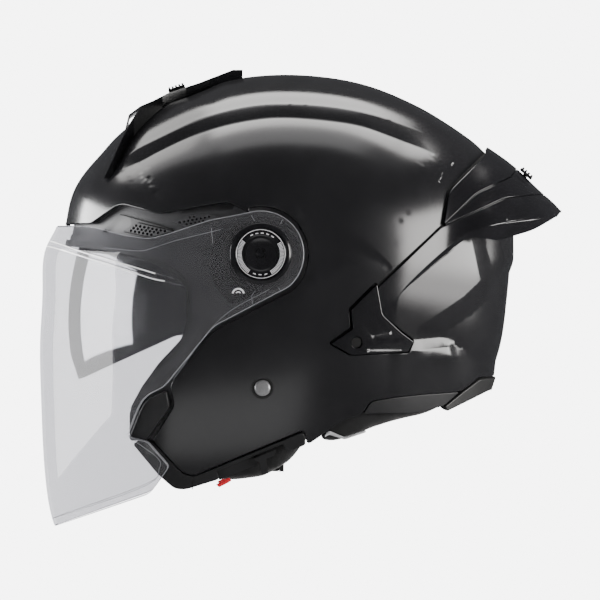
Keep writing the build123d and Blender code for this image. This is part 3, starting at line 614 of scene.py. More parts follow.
def skin(name, body, outline, by, wall, material, ride="helmet", replaces=(), holes=(), lines=(), relief=None,
         spacing=3.0, edge=0.5, sides="both", rim=None, under=None, split=False, lean=None):
    """A panel on a rounded body, its outer face by millimetres outside it."""
    loop = tidy_loop(body.flat(subdivide(outline, spacing * 0.8)), spacing * PER_MM * 0.25)
    holes = [tidy_loop(body.flat(subdivide(h, spacing * 0.6)), spacing * PER_MM * 0.1) for h in holes]
    lines = [body.flat(subdivide(l, spacing * 0.7, closed=False)) for l in lines]
    uv, faces = triangulate(loop, holes, lines, spacing * PER_MM)
    point, normal = surface(body, uv, by, relief, lean)
    seam = np.hypot(uv[:, 0], uv[:, 1]) > 1 - 1e-5
    if split or sides != "both":
        seam[:] = False
    verts, faces, normals, slots = build_sheet(point, normal, faces, wall, edge, seam)
    palette = [material, rim or material, under or material]
    verts = verts * MM
    mirror = np.array((-1, 1, 1))
    other = [f[::-1] for f in faces]
    out = []
    if sides == "both" and not split:
        both = faces + [f + len(verts) for f in other]
        out.append(mesh_object(name, np.concatenate([verts, verts * mirror]), both, palette,
                               np.concatenate([normals, normals * mirror]), np.concatenate([slots, slots])))
    else:
        if sides in ("both", "left"):
            out.append(mesh_object(name + "_left" * (sides == "both"), verts, faces, palette, normals, slots))
        if sides in ("both", "right"):
            out.append(mesh_object(name + "_right" * (sides == "both"), verts * mirror, other, palette,
                       normals * mirror, slots))
    for obj in out:
        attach(obj, ride)
    if replaces:
        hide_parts(*replaces)
    return out if len(out) > 1 else out[0]


def tidy_loop(loop, gap):
    """Drops points closer to the one before than the gap."""
    kept = [loop[0]]
    for p in loop[1:]:
        if hypot(*(p - kept[-1])) > gap:
            kept.append(p)
    if hypot(*(kept[0] - kept[-1])) < gap:
        kept.pop()
    return np.array(kept)


# ---- Outlines of the panels ----------------------------------------------------------------------------------
EAR = 27.5
SHELL_EDGE = [(-170, 77.5, 0), (-120.5, 77.5), (-104.5, 88.5), (-99.5, 89.5), (-78.5, 84, 4), (-33.5, 91.5),
    (-19.5, 84.5, 2), *[(*p, 0) for p in arc(PIVOT, 30.5, 104, -50, 30)], (-41.5, 9.5, 6), (-70, -25, 4),
    (-67, -38, 3), (-81, -60.5, 2), (-62.5, -80.5, 4), (-55, -83, 3), (15.5, -53.5, 3), (17.5, -63.5, 3),
    (25.5, -58), (39.5, -47.5, 6), (52.5, -43.5, 3), (57.5, -35.5, 3), (72, -33, 6), (91.5, -31, 8),
    (115.5, -29.5, 3), (127.5, -21, 2), (170, -19, 0)]
EYEPORT = [
    (-170, 63.5, 0), (-137, 63.5), (-115, 61, 8), (-93.5, 57, 8), (-78, 51, 10), (-66, 44, 8), (-59.5, 36.5, 6),
    (-59, 15.5, 8), (-62.5, 4, 8), (-77, -11.5, 10), (-87.5, -26, 8), (-94.5, -39, 4), (-97, -44, 4), (-97, -57, 4),
    (-94, -62.5, 4), (-78, -80, 5), (-67, -91.5, 3), (-67, -170, 0), (-170, -170, 0),
]
EYEPORT_STEP = [  # outer curve of the frame's stepped inner edge
    (-170, 66, 0), (-137, 66), (-115, 65.5, 8), (-93.5, 63.5, 8), (-77, 61.5, 8), (-63, 57.5, 8), (-53, 47.5, 8),
    (-49.5, 37, 6), (-49.5, 15, 8), (-58, -4, 8), (-75, -22, 8), (-90, -44, 4), (-120, -44, 0), (-120, -170, 0),
    (-170, -170, 0),
]
VISOR_EDGE = [(-170, 76, 0), (-142.5, 76.5, 3), (-120.5, 76, 6), (-101, 70.5, 6), (-83, 67.5, 8), (-69, 71.5, 10),
    (-45, 79.5, 4), (-20, 84.3, 3), *[(*p, 0) for p in arc(PIVOT, EAR, 104, -50, 30)], (-2, 33, 2), (-42, 12, 5),
    (-73.5, -26.5, 4), (-83, -31, 3), (-87.5, -35, 4), (-91.5, -43, 4), (-97, -58, 1), (-84, -61.2, 2),
    (-71, -76, 2), (-71, -78.5, 2), (-82.5, -94.5, 4), (-146, -116.5, 4), (-170, -122, 0)]
GRILLES = [
    [(-103, 73, 1), (-93.5, 78.6, 1.5), (-69.5, 73, 1), (-83.5, 69, 1.5)],
    [(-70, 79.2, 1), (-57.5, 83.6, 1.5), (-44.5, 84.2, 1.5), (-38.5, 81.8, 1), (-60, 75.2, 1.5)],
]
JAW_BLOCK = [(-71.5, -27.5, 1.5), (-82, -32.5, 1), (-85.8, -36, 1), (-89.5, -44, 1), (-94.6, -56.5, 1.5),
    (-86.5, -60, 1.5), (-83.5, -58.5, 1), (-69.5, -38.5, 2)]
JAW_RIM = [(-81.2, -61, 1), (-62.5, -81.4, 4), (-55, -83.9, 3), (15.2, -54.9, 3), (16.8, -63.3, 2), (-37, -85, 6),
    (-60, -92, 4), (-67, -91.5, 4), (-77, -83, 5), (-94, -62.5, 2), (-86.5, -61, 1)]
LEVER_NOTCH = [(4.6, -68.2, 1), (2, -62.8, 1), (-40, -80, 1), (-38.8, -85.4, 1)]
SIDE_BRACKET = [(32.5, 1.5, 1), (46, 11, 1.5), (45, 23, 1), (61, 39, 1), (64.3, 20, 2), (75.5, 9.5, 1.5),
    (84, 3, 1), (80.5, -3.5, 1), (45, -5.5, 1.5)]
REAR_PANEL = [(53.2, -43.6, 1), (58, -36, 3), (72, -33.5, 6), (91.5, -31.5, 6), (115, -30, 2), (104.5, -39, 2),
    (87.5, -43.5, 6), (59, -43.6, 3)]
NAPE_TRIM = [(170, -19.5, 0), (127.8, -21.6, 2), (116, -30.1, 2), (105, -39, 1), (106.5, -42, 1), (134.5, -28.5, 3),
             (170, -27.5, 0)]
FLANK = [(134.5, 130, 0), (170, 130, 0), (150.8, 111.8, 0), (147, 107.6, 1), (125, 97, 3), (104.5, 76.8, 1),
    (108, 98, 4), (131.5, 122, 1)]
COVER = [(151.4, 112.4, 0), (170, 115, 0), (170, 96.5, 0), (162.5, 96.5, 1), (143, 94, 3), (104, 76, 1),
    (125, 96.5, 3), (147.2, 107, 1)]
WING = [(166, 96, 0), (200, 96, 0), (181.5, 84.5, 0), (167, 73.5, 4), (147, 66.8, 4), (122.5, 69.5, 5),
    (100, 52, 4), (76, 32, 3), (74, 12, 2), (65, 20, 1), (61.8, 36, 2), (102.5, 74.8, 1), (143, 93.4, 3),
    (162.5, 95.9, 1)]

# ---- Sculpted lines ------------------------------------------------------------------------------------------
UPPER = smooth_line([(-108, 110), (-103.5, 114), (-93.5, 122), (-77, 130.5), (-51, 142.5), (-25.5, 149.5),
                    (-2, 152), (30.5, 150.5), (63, 144.5), (95.5, 132.5), (116.5, 122)])
LOWER = smooth_line([(-112, 104), (-99, 112.5), (-77, 125), (-51, 136.5), (-22, 144), (6, 146.2), (46.5, 142),
                    (73, 133.5), (96, 123.5), (112, 114)])
HOLLOW = rounded([(10, 92, 6), (15, 89, 3), (40, 77, 12), (64, 58, 8), (74, 47, 3), (45, 52, 6), (13, 36, 12),
                 (-8, 26, 8), (15, 60, 8)])
REAR_FACET = [(119, 80), (120.6, 72), (128, 41), (117.5, 31), (107, 23.8), (88, 11.5)]
BAND_TOP, BAND_LOW = [(74, 3.4), (95, 3.7), (115, 3.9)], [(74, -3.6), (95, -2.7), (115, -1.0)]
REAR_GROOVE = smooth_line([(141.6, 68.5), (146, 53), (142, 34), (133, 14)])
DENT = [(100.6, 104.3), (110.9, 122.7), (117.1, 124.2)]
WING_CREASE = smooth_line([(72, 26), (80, 36.5), (89.6, 46.3), (104, 59.5), (117, 69.8), (124, 73.2), (144, 77.9),
    (166, 80.5), (178, 84)])
COVER_FACET = [(147.6, 108), (150.6, 108.7), (158, 102.1), (156.8, 100.7)]
WING_FACET = rounded([(144, 78.5, 1), (148, 86.5, 1), (170, 90, 1), (181, 84.5, 1)])
BROW_PANEL = rounded([(-117, 73, 1), (-104, 83.8, 1.5), (-68.4, 73.2, 0.8), (-83.5, 67.9, 2)])


def fade(along, start=0.12, end=0.12):
    """1 along a line, falling to 0 at its ends."""
    return smooth(along, 0, start) * smooth(1 - along, 0, end)


def depth(yz, loop):
    """How far inside a closed loop each point lies, negative outside."""
    gap, _ = line_distance(yz, np.vstack([loop, loop[:1]]))
    return np.where(inside(yz, loop), np.abs(gap), -np.abs(gap))


def shell_relief(yz):
    """The shell's sculpted lines: a stepped crown, a hollow behind the ear, facets at the back."""
    up, a = line_distance(yz, UPPER)
    low, _ = line_distance(yz, LOWER)
    high = (1.4 + 1.1 * smooth(up, 0, 8)) * np.exp(-np.maximum(up - 8, 0) / 16)
    deep = -2.1 * np.exp(-np.maximum(-low, 0) / 26)
    share = np.clip(low / np.maximum(low - up, 1e-6), 0, 1)
    d = fade(a, 0.1, 0.16) * np.where(up > 0, high, np.where(low < 0, deep, -2.1 + 3.5 * share))
    d -= 1.8 * (1 - np.exp(-np.maximum(depth(yz, HOLLOW), 0) / 7))
    y, z = yz[:, 0], yz[:, 1]
    g, a = line_distance(yz, REAR_FACET)
    upper = -0.2 * np.clip(g, 0, 10) * (1 - smooth(y, 132, 145))
    lower = -0.22 * np.clip(g, 0, 26) * smooth(z, -30, 6)
    lower *= 1 - (1 - smooth(y, 104, 132)) * (1 - smooth(z, -8, 8))
    recess = np.where(a < 0.02, 0, lower + (upper - lower) * smooth(z, 36, 56)) * smooth(y, 84, 92)
    g, a = line_distance(yz, REAR_GROOVE)
    recess -= 1.2 * fade(a, 0.12, 0.12) * np.where(g > 0, np.exp(-np.abs(g) / 5), np.exp(-((g / 1.2) ** 2)))
    d += np.maximum(recess, -2.9)
    d -= 1.6 * np.exp(-(((y + 56) / 16) ** 4)) * smooth(z, 150, 160)
    top, _ = line_distance(yz, BAND_TOP)
    low, _ = line_distance(yz, BAND_LOW)
    share = np.clip(-top / np.maximum(low - top, 1e-6), 0, 1)
    band = np.where(top > 0, 0, np.where(low > 0, share, np.exp(-np.maximum(-low, 0) / 15)))
    d += 1.3 * band * smooth(y, 68, 77) * (1 - smooth(y, 106, 114))
    return d - 0.7 * smooth(depth(yz, DENT), -0.4, 0.4)


def wing_relief(yz):
    """The wing turns under below its crease, and its end facet is set in."""
    g, _ = line_distance(yz, WING_CREASE)
    reach = 1.3 + 11 * smooth(yz[:, 0], 108, 128)
    return -0.9 * np.minimum(np.maximum(-g, 0), reach) - 0.9 * smooth(depth(yz, WING_FACET), -0.4, 0.4)


def cover_relief(yz):
    """A set-in facet under the rear slider."""
    return -0.9 * smooth(depth(yz, COVER_FACET), -0.4, 0.4)


def wing_lean(yz):
    """Draws the spoiler's front parts in towards the shell beside them."""
    across = SPOILER.place(SPOILER.flat(yz), 0)[:, 0] - SHELL.place(SHELL.flat(yz), 0)[:, 0]
    return -np.maximum(across - 1.6, 0) * (1 - smooth(yz[:, 0], 98, 138)) * 0.9


def offset_lines(line, gaps):
    """Copies of an open line, moved sideways."""
    line = np.asarray(line, float)
    run = np.gradient(line, axis=0)
    run /= np.maximum(np.hypot(run[:, 0], run[:, 1]), 1e-9)[:, None]
    normal = np.stack([-run[:, 1], run[:, 0]], 1)
    return [line + normal * g for g in gaps]


def grown(loop, by):
    """The closed loop moved outwards."""
    p = np.asarray(loop, float)
    after = np.roll(p, -1, 0)
    run = unit(after - np.roll(p, 1, 0))
    turn = np.sign(np.sum(p[:, 0] * after[:, 1] - after[:, 0] * p[:, 1]))
    return p + np.stack([run[:, 1], -run[:, 0]], 1) * by * turn


def strip(name, body, line, width, by, material, wall=0.3, spacing=1.6, **more):
    """A narrow band along an open line."""
    a, b = offset_lines(subdivide(line, spacing, closed=False), (width / 2, -width / 2))
    return skin(name, body, np.vstack([a, b[::-1]]), by, wall, material, spacing=spacing, edge=0.05, **more)


def creases(*lines):
    """Mesh edges either side of each sharp line."""
    both = (-CREASE_GAP, CREASE_GAP)
    return [side for line in lines for side in offset_lines(subdivide(line, CREASE_STEP, closed=False), both)]


def rims(*loops):
    """Mesh edges either side of each sharp closed outline."""
    rings = []
    for loop in loops:
        fine = subdivide(loop, CREASE_STEP)
        rings += [np.vstack([ring, ring[:1]]) for ring in (grown(fine, CREASE_GAP), grown(fine, -CREASE_GAP))]
    return rings


BRACKET_LOOP = rounded(SIDE_BRACKET)
HOLLOW_EDGE = np.array([(15, 89), (27, 83.4), (40, 76), (52, 68), (64, 58), (71, 50)])
skin("shell_paint_skin", SHELL, rounded([*SHELL_EDGE, (170, 400, 0), (-170, 400, 0)]), 0, 3.0, PAINT,
     replaces=["outer_shell"], lines=creases(UPPER, LOWER, HOLLOW_EDGE, REAR_FACET[1:], BAND_TOP,
     BAND_LOW) + rims(DENT), holes=[arc(RIVET_AT, 5.6, 0, 345, 23), grown(BRACKET_LOOP, 0.9)], relief=shell_relief,
     spacing=2.4, edge=0.7)
# Dark sheets of painted shade under the gaps round the side bracket and the strap rivet.
skin("bracket_gap_shade", SHELL, grown(BRACKET_LOOP, 3), -1.6, 1.0, PAINTED_SHADE, spacing=3, edge=0)
skin("rivet_gap_shade", SHELL, arc(RIVET_AT, 6.6, 0, 345, 23), -1.6, 1.0, PAINTED_SHADE, spacing=3, edge=0,
     holes=[arc(RIVET_AT, 3.6, 0, 330, 11)])

frame_loop = rounded([(-170, 96, 0), (-118, 90), (-100, 94, 4), (-78.5, 89, 4), (-33.5, 96.5, 4),
                     *[(*p, 0) for p in arc(PIVOT, 35.5, 105, -48, 24)], (-40, 3, 6), (-62, -25, 4), (-62, -38, 4),
                     (-76, -62, 3), (-97, -62.5, 3), (-97, -57, 4), *EYEPORT[12:0:-1], EYEPORT[0]])
STEP_LINE = np.array(rounded(EYEPORT_STEP[:-3], 6, closed=False))
STEP_INNER = offset_lines(STEP_LINE, (5.0,))[0]
BROW_FACET = [(-66.2, 84.3), (-48, 85.9), (-29.4, 87.3)]


def frame_relief(yz):
    """A step down to the face opening, a set-in brow panel with a tilted end, and an upper facet."""
    gap, a = line_distance(yz, STEP_LINE)
    d = np.where(a < 0.999, -1.1 * smooth(gap, -0.4, 0.4) - 0.9 * smooth(gap, 4.6, 5.4), 0.0)
    d -= smooth(depth(yz, BROW_PANEL), -0.4, 0.4) * (0.8 + 0.1 * np.clip(-99 - yz[:, 0], 0, 14))
    g, a = line_distance(yz, BROW_FACET)
    return d - 0.5 * np.clip(g, 0, 6) * fade(a, 0.1, 0.02)


skin("eyeport_frame_skin", SHELL, frame_loop, -3.2, 2.2, FRAME, replaces=["eyeport_frame"],
     holes=[rounded(g) for g in GRILLES], spacing=2.4, edge=0.45, relief=frame_relief,
     lines=creases(STEP_LINE, STEP_INNER, BROW_FACET) + rims(BROW_PANEL))
# A dark strip of painted shade along the groove above the first grille.
strip("brow_groove_shade", SHELL, [(-104.5, 84), (-87, 79.2), (-69.5, 74)], 0.7, -3.9, PAINTED_SHADE)
skin("pivot_plate", SHELL, rounded([(-46, 50, 2), (-41.5, 37, 4), (-31, 25, 3), (-24, 28, 2), (-16, 32, 4),
     (-2, 37.5, 3), (12, 44, 4), (16, 62, 8), (4, 80, 8), (-18, 82, 8), (-38, 72, 6), (-44, 62, 3)]), -2.9, 0.8,
     GLOSS, spacing=3, holes=[arc(PIVOT, 18, 0, 345, 23)])

GRILLE_RUN = unit(np.array([(26.5, -5.2), (24.0, 4.6)]))
for index, outline in enumerate(GRILLES):
    loop = np.array(rounded(outline))
    centre, along = loop.mean(0), GRILLE_RUN[index]
    across = np.array((-along[1], along[0]))
    rim, holes = grown(loop, -1.0), []
    for row in range(-5, 6):
        for column in range(-9, 10):
            at = centre + along * 2.75 * (column + 0.5 * (row % 2)) + across * 2.0 * row
            if inside(at[None], rim)[0]:
                holes.append(arc(at, 0.86, 0, 315, 7))
    sunk = (-0.8, -0.5)[index]
    skin(f"brow_grille_{index}", SHELL, loop, -3.2, 1.0, FRAME, holes=holes, spacing=1.3, edge=0.2,
         relief=lambda yz: sunk + 0 * yz[:, 0], replaces=["brow_grilles"] if index == 0 else ())
    # a dark sheet of painted shade seen through the grille holes
    skin(f"brow_grille_back_{index}", SHELL, grown(loop, 0.6), -5.6, 0.3, PAINTED_SHADE, spacing=3, edge=0)

# ---- Visor and pivots ----------------------------------------------------------------------------------------
# The visor's cut edges take the lighter edge haze as painted highlight.
skin("visor_shield_skin", VISOR, rounded(VISOR_EDGE), 0, 2.2, LENS, ride="visor", replaces=["visor_shield"],
             holes=[arc(PIVOT, 9.1, 0, 352, 44)], spacing=3.0, edge=0.5, rim=LENS_EDGE_HIGHLIGHT, under=LENS_UNDER)
# Thin lines of the lighter edge haze along the visor's border and ear: painted highlight.
VISOR_HIGHLIGHT_LINES = {
    "border": [(-112, 62), (-90, 60), (-82, 61.3), (-72, 64.6), (-62, 67.5), (-45, 71.6), (-37, 73.6)],
    "border_low": [(-93, -60), (-78, -71), (-76.5, -78), (-86, -89.5), (-146, -111)],
    "ear_line": [(-6, 36), (-38, 16.5), (-68, -22)],
}
for name, line in VISOR_HIGHLIGHT_LINES.items():
    strip("visor_" + name, VISOR, smooth_line(line), 0.3, 0.06, LENS_EDGE_HIGHLIGHT, ride="visor", wall=0.1)
# Two white lines of painted highlight across the visor's clear part.
for index, line in enumerate(([(-170, 69), (-147, 66.4), (-124, 58.7), (-101, 52.2), (-79, 45.6)],
        [(-170, 65), (-147.5, 62.9), (-123, 55.6), (-101, 48.8), (-81, 42.4), (-73, 40.8)])):
    strip(f"visor_ridge_{index}", VISOR, smooth_line(line), 0.75, 0.06, LENS_PAINTED_HIGHLIGHT, ride="visor", wall=0.1)
# Short thin lines of painted highlight near the visor's ear, in the same edge haze.
for index, line in enumerate(([(-18.2, 82.8), (-15.9, 78.8)], [(1.9, 79.8), (0.3, 76.9)],
        [(-1.3, 37.2), (0.9, 34.2)], [(-15.2, 35), (-17.9, 31.6), (-17.2, 26)], [(-43.4, 74.5), (-42.4, 64.7)])):
    strip(f"visor_mark_{index}", VISOR, line, 0.3, 0.05, LENS_EDGE_HIGHLIGHT, ride="visor", wall=0.1, spacing=1.0)
for index, (start, end, z) in enumerate(((-49, -37.5, 61), (-50, -40, 57.5), (-47.5, -38.5, 54), (-49, -41, 50.5))):
    strip(f"frame_dash_{index}", SHELL, [(start, z), (end, z + 1.2)], 0.8, -3.05, TRIM, spacing=1.5)

EAR_OUT = CAP * VISOR.half_width


def lathe(name, profile, material, rides, replaces=None, centre=PIVOT, steps=96):
    """Turned pieces about an X axis, one per side. profile is (radius, x), from the outer face's middle on."""
    for side, sign in (("left", 1), ("right", -1)):
        verts, faces = [], []
        for radius, x in profile:
            for k in range(steps):
                a = 2 * pi * k / steps
                verts.append((sign * x * MM, (centre[0] + radius * cos(a)) * MM,
                    (centre[1] + radius * sin(a)) * MM))
        for i in range(len(profile) - 1):
            for k in range(steps):
                n = (k + 1) % steps
                quad = (i * steps + k, (i + 1) * steps + k, (i + 1) * steps + n, i * steps + n)
                faces.append(quad if sign > 0 else quad[::-1])
        obj = mesh_object(f"{name}_{side}", verts, faces, material)
        bm = bmesh.new()
        bm.from_mesh(obj.data)
        bmesh.ops.remove_doubles(bm, verts=bm.verts, dist=1e-7)
        bmesh.ops.recalc_face_normals(bm, faces=bm.faces)
        bm.to_mesh(obj.data)
        bm.free()
        obj.data.set_sharp_from_angle(angle=radians(32))
        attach(obj, rides.format(side=side))
        if replaces and (side == "left" or "{side}" in replaces):
            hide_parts(replaces.format(side=side))


def sectors(name, marks, x, material, rides, centre=PIVOT, thick=0.04):
    """Thin flat marks on a disc, each (inner radius, outer radius, first angle, last angle): print, dark metal, and
    the ring's painted reflection.
    """
    for side, sign in (("left", 1), ("right", -1)):
        verts, faces = [], []
        for inner, outer, first, last in marks:
            n = max(2, int(abs(last - first) / 4))
            base = len(verts)
            for k in range(n + 1):
                a = radians(first + (last - first) * k / n)
                for radius in (inner, outer):
                    for lift in (0, thick):
                        verts.append((sign * (x + lift) * MM, (centre[0] + radius * cos(a)) * MM,
                            (centre[1] + radius * sin(a)) * MM))
            for k in range(n):
                p, q = base + 4 * k, base + 4 * (k + 1)
                quads = [(p + 1, p + 3, q + 3, q + 1), (p, q, q + 2, p + 2), (p + 2, q + 2, q + 3, p + 3),
                    (p, p + 1, q + 1, q)]
                if k == 0:
                    quads.append((p, p + 2, p + 3, p + 1))
                if k == n - 1:
                    quads.append((q, q + 1, q + 3, q + 2))
                faces += [f if sign > 0 else f[::-1] for f in quads]
        obj = mesh_object(f"{name}_{side}", verts, faces, material)
        obj.data.polygons.foreach_set("use_smooth", [False] * len(obj.data.polygons))
        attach(obj, rides.format(side=side))


def out(*profile):
    """A (radius, height) profile measured from the visor ear's outer face."""
    return [(radius, EAR_OUT + x) for radius, x in profile]


lathe("pivot_disc", out((0, 1.35), (2.3, 1.35), (2.45, 1.6), (9.6, 1.66), (9.9, 1.8), (10.4, 1.8), (10.9, 1.52),
      (11.6, 1.52), (11.8, 1.62), (14.95, 1.62), (15.05, 1.95), (15.25, 2.1), (15.6, 2.1), (15.85, 1.9), (16, 1.6),
      (16, 0.5), (0, 0.5)), GLOSS, "pivot_cap_{side}", "pivot_cap_{side}")
ticks = [(12.1, 14.7, a, a + 1.9) for a in [-61 + 3.6 * k for k in range(26)]]
ticks += [(12.1, 14.7, 180 - a - 1.9, 180 - a) for a in [-56 + 3.6 * k for k in range(26)]]
ticks += [(12.9, 13.5, 52 + 15 * k, 60 + 15 * k) for k in range(5)]
ticks += [(12.9, 13.5, -112 + 16 * k, -104 + 16 * k) for k in range(3)]
sectors("pivot_print", ticks, EAR_OUT + 1.62, PRINT_AND_RING_SHEEN, "pivot_cap_{side}")
# The thin steel ring in the grey print colour: painted reflection standing for the metal's bright gleam.
sectors("pivot_ring_sheen", [(15.2, 15.55, 0, 360)], EAR_OUT + 2.1, PRINT_AND_RING_SHEEN, "pivot_cap_{side}")
sectors("pivot_crescents", [(10.0, 10.5, 142, 205), (10.0, 10.5, -30, 18), (2.5, 3.3, 20, 70), (2.5, 3.3, 110, 160),
        (2.5, 3.3, 200, 250), (2.5, 3.3, 290, 340)], EAR_OUT + 1.79, BLACK_STEEL, "pivot_cap_{side}")
lathe("pivot_bezel", out((16.3, 0.4), (16.35, 1.1), (16.8, 1.55), (17.6, 1.6), (18.3, 1.4), (18.7, 1.0),
      (19.3, 0.85), (19.6, 0.5), (19.6, 0.02), (16.3, 0.02), (16.3, 0.4)), GLOSS, "visor", "visor_bezel_{side}")
sectors("visor_symbol", [(3.0, 4.1, 10, 170), (1.2, 1.9, 30, 150)], EAR_OUT - 0.25, PRINT_AND_RING_SHEEN, "visor",
        centre=(-26.3, 32.4), thick=0.3)
for side in ("left", "right"):
    for node, material in ((f"visor_bezel_{side}", GLOSS), (f"pivot_cap_{side}", GLOSS),
            (f"pivot_base_{side}", TRIM)):
        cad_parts[node].data.materials.clear()
        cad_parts[node].data.materials.append(material)

# ---- Trim and spoiler ----------------------------------------------------------------------------------------
SCREW_AT = (48.5, 2.0)
BRACKET_FACETS = [[(52, 28), (58, 33), (61, 20), (69.5, 9.5), (58, 7), (52.5, 13)],
    [(60.5, 4.7), (77.5, 4.7), (79, 1.5), (76.5, -1.8), (55, -1.8)]]


def bracket_relief(yz):
    """Set-in facets and a dished seat round the screw."""
    seat = np.hypot(yz[:, 0] - SCREW_AT[0], yz[:, 1] - SCREW_AT[1])
    facets = [0.7 * smooth(depth(yz, loop), -0.4, 0.4) for loop in BRACKET_FACETS]
    return -sum(facets) - 0.6 * (1 - smooth(seat, 3.4, 4.2))


skin("jaw_block_skin", SHELL, rounded(JAW_BLOCK), 2.6, 5.2, TRIM, replaces=["jaw_block_left", "jaw_block_right"],
     spacing=2.5, edge=0.9, split=True)
skin("jaw_rim_skin_left", SHELL, rounded(JAW_RIM[:5] + LEVER_NOTCH + JAW_RIM[6:]), -0.2, 2.8, TRIM,
     replaces=["jaw_rim_left"], spacing=2.5, edge=0.6, sides="left")
skin("jaw_rim_skin_right", SHELL, rounded(JAW_RIM), -0.2, 2.8, TRIM, replaces=["jaw_rim_right"], spacing=2.5,
     edge=0.6, sides="right")
# A dark strip of painted shade in the jaw rim's seam.
strip("jaw_rim_seam_shade", SHELL, [(-55, -83.2), (-55.6, -91.5)], 0.6, -0.1, PAINTED_SHADE, spacing=1)
RIVET_OUT = 119.0
lathe("rivet_head", [(0, RIVET_OUT), (3.4, RIVET_OUT - 0.05), (4.5, RIVET_OUT - 0.45), (5.1, RIVET_OUT - 1.2),
      (5.2, RIVET_OUT - 2), (5.2, RIVET_OUT - 4), (3.5, RIVET_OUT - 4), (3.5, 109.5), (6.4, 109.5), (6.5, 108.2),
      (6.0, 107.9), (0, 107.9)], SATIN, "helmet", "strap_rivets", RIVET_AT)
skin("side_bracket_skin", SHELL, BRACKET_LOOP, 2.0, 2.0, GLOSS, replaces=["side_bracket_left",
     "side_bracket_right"], spacing=1.5, edge=0.6, relief=bracket_relief, holes=[arc(SCREW_AT, 3.3, 0, 345, 23)],
     lines=rims(*BRACKET_FACETS), split=True)
skin("rear_panel_skin", SHELL, rounded(REAR_PANEL), -0.4, 2.6, TRIM, replaces=["rear_lower_panel_left",
     "rear_lower_panel_right"], spacing=2.5, edge=0.6, split=True)
skin("nape_trim_skin", SHELL, rounded(NAPE_TRIM), 0.4, 4.0, SEAL, replaces=["nape_trim"], spacing=2.5, edge=0.8)
skin("spoiler_flank_skin", SPOILER, rounded(FLANK), 0, 2.4, GLOSS, replaces=["spoiler_flank"], spacing=2.2,
     edge=0.5, lean=wing_lean)
skin("spoiler_cover_skin", SPOILER, rounded(COVER), 0, 2.4, GLOSS, replaces=["spoiler_cover"], spacing=2.0,
     edge=0.5, relief=cover_relief, lines=rims(COVER_FACET), lean=wing_lean)
skin("spoiler_wing_skin", SPOILER, rounded(WING), 0, 2.4, GLOSS, replaces=["rear_spoiler"], spacing=2.0, edge=0.5,
     relief=wing_relief, lines=creases(WING_CREASE[:-4]) + rims(WING_FACET), lean=wing_lean)
# Dark strips of painted shade in the grooves beside the spoiler's flank and wing.
strip("flank_groove_shade", SHELL, [(134, 129), (131, 122), (107.6, 98.2), (104.2, 77), (99, 72)], 1.8, 0.2, PAINTED_SHADE,
      relief=shell_relief)
strip("wing_groove_shade", SHELL, [(100.5, 73.6), (80, 54.6), (61, 36.9)], 1.4, 0.2, PAINTED_SHADE, relief=shell_relief)

# ---- Soft lining ---------------------------------------------------------------------------------------------


def applied(obj):
    """Makes the modifiers' result the object's own mesh."""
    shaped = bpy.data.meshes.new_from_object(obj.evaluated_get(bpy.context.evaluated_depsgraph_get()))
    obj.modifiers.clear()
    obj.data = shaped


def remeshed(node, voxel):
    """A new object with the node's shape in even quads."""
    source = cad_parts[node]
    mesh = source.data.copy()
    mesh.transform(source.matrix_world)
    mesh.materials.clear()
    obj = link(bpy.data.objects.new(node + "_soft", mesh))
    remesh = obj.modifiers.new("remesh", "REMESH")
    remesh.mode, remesh.voxel_size = "VOXEL", voxel
    applied(obj)
    return obj


def soft_piece(obj, node, material):
    """Finishes a soft object as the one that stands for the node."""
    obj.data.name = node + "_soft"
    obj.data.materials.append(material)
    obj.data.polygons.foreach_set("use_smooth", [True] * len(obj.data.polygons))
    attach(obj, "helmet")
    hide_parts(node)


def woven(node, material, voxel=0.0007, passes=5):
    """A strap, cord or tab with its edges worn round."""
    obj = remeshed(node, voxel)
    points = np.empty(len(obj.data.vertices) * 3)
    obj.data.vertices.foreach_get("co", points)
    points = points.reshape(-1, 3)
    for _ in range(passes):
        points = even_out(obj.data, points)
    obj.data.vertices.foreach_set("co", points.ravel())
    obj.data.update()
    soft_piece(obj, node, material)


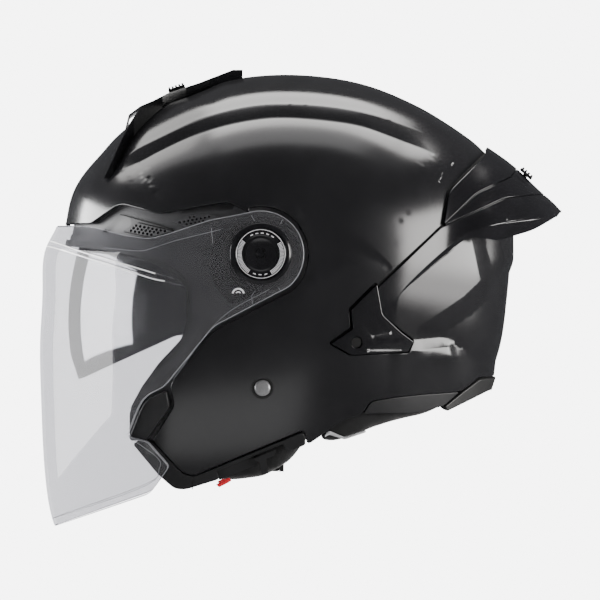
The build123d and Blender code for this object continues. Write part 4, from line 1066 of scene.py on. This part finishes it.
def padded(node, material, cap, voxel=0.005, shrink=1.6):
    """A stuffed piece in its CAD solid's place: remeshed, drawn in, and blown up as cloth. It stays flat against the
    liner, and rises by at most cap millimetres where it is free."""
    obj = remeshed(node, voxel)
    count = len(obj.data.vertices)
    rest, normal = np.empty(count * 3), np.empty(count * 3)
    obj.data.vertices.foreach_get("co", rest)
    obj.data.vertices.foreach_get("normal", normal)
    rest, normal = rest.reshape(-1, 3), normal.reshape(-1, 3)
    start = rest - normal * shrink * MM
    obj.data.vertices.foreach_set("co", start.ravel())
    outward = np.einsum("ij,ij->i", normal, start - np.array(HEAD_CENTRE))
    limit = np.where(outward > 0.02, shrink * 0.8, cap + shrink)[:, None] * MM
    now = start
    cloth = obj.modifiers.new("cloth", "CLOTH")
    cloth.settings.use_pressure, cloth.settings.uniform_pressure_force = True, CLOTH_PRESSURE
    cloth.settings.effector_weights.gravity = 0
    cloth.settings.quality = 4
    cloth.collision_settings.use_collision = cloth.collision_settings.use_self_collision = False
    scene = bpy.context.scene
    for step in range(1, CLOTH_FRAMES + 1):
        scene.frame_set(step)
    applied(obj)
    scene.frame_set(1)
    moved = np.empty(count * 3)
    obj.data.vertices.foreach_get("co", moved)
    now = moved.reshape(-1, 3)
    shift = now - start
    far = np.maximum(np.linalg.norm(shift, axis=1, keepdims=True), 1e-9)
    now = start + shift * np.minimum(1, limit / far)
    for _ in range(2):
        now = even_out(obj.data, now)
    obj.data.vertices.foreach_set("co", now.ravel())
    obj.data.update()
    divide = obj.modifiers.new("divide", "SUBSURF")
    divide.levels = divide.render_levels = 1
    applied(obj)
    soft_piece(obj, node, material)


def even_out(mesh, points):
    """One light smoothing pass over a mesh's points."""
    edges = np.empty(len(mesh.edges) * 2, int)
    mesh.edges.foreach_get("vertices", edges)
    a, b = edges.reshape(-1, 2).T
    total, count = np.zeros_like(points), np.zeros(len(points))
    for one, two in ((a, b), (b, a)):
        np.add.at(total, one, points[two])
        np.add.at(count, one, 1)
    return points + 0.5 * (total / np.maximum(count, 1)[:, None] - points)


padded("cheek_pad_left", LINING, 4)
padded("cheek_pad_right", LINING, 4)
padded("crown_pad", LINING, 4, voxel=0.006)
padded("neck_roll", LINING, 4)
woven("strap_left", WEBBING)
woven("strap_right", WEBBING)
woven("neck_piping", PIPING)
woven("cheek_release_tabs", RED)

looks = {"eyeport_gasket": SEAL, "frame_screws": BLACK_STEEL, "lever_rail": TRIM, "sun_visor_lever": TRIM,
    "top_vent_housing": GLOSS, "crown_spine": GLOSS, "bracket_screws": BLACK_STEEL, "pivot_screws": BLACK_STEEL,
    "sun_visor_studs": STEEL, "cheek_pad_studs": TRIM, "buckle_body": TRIM, "ratchet_tongue": TRIM,
    "rivet_washers": SEAL, "sun_visor": SMOKE, "top_vent_slider": TRIM, "rear_vent_slider": TRIM,
    "buckle_lever": TRIM, "liner_crown": FOAM, "liner_brow": FOAM, "liner_side_left": FOAM,
    "liner_side_right": FOAM, "liner_back": FOAM}
for node, material in looks.items():
    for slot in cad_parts[node].material_slots:
        slot.material = material

floor_mesh = bpy.data.meshes.new("floor")
floor_mesh.from_pydata([(x, y, FLOOR_Z) for x, y in ((-1.2, -3), (2.5, -3), (2.5, 3), (-1.2, 3))], [],
                       [(0, 1, 2, 3)])
floor = link(bpy.data.objects.new("floor", floor_mesh))
floor_shader = Shader("pale_floor")
floor_shader.set(base=floor_shader.blend(floor_shader.noise(3), (0.93, 0.93, 0.93), (0.96, 0.96, 0.96)), rough=0.9)
floor.data.materials.append(floor_shader.m)
floor.visible_glossy = False
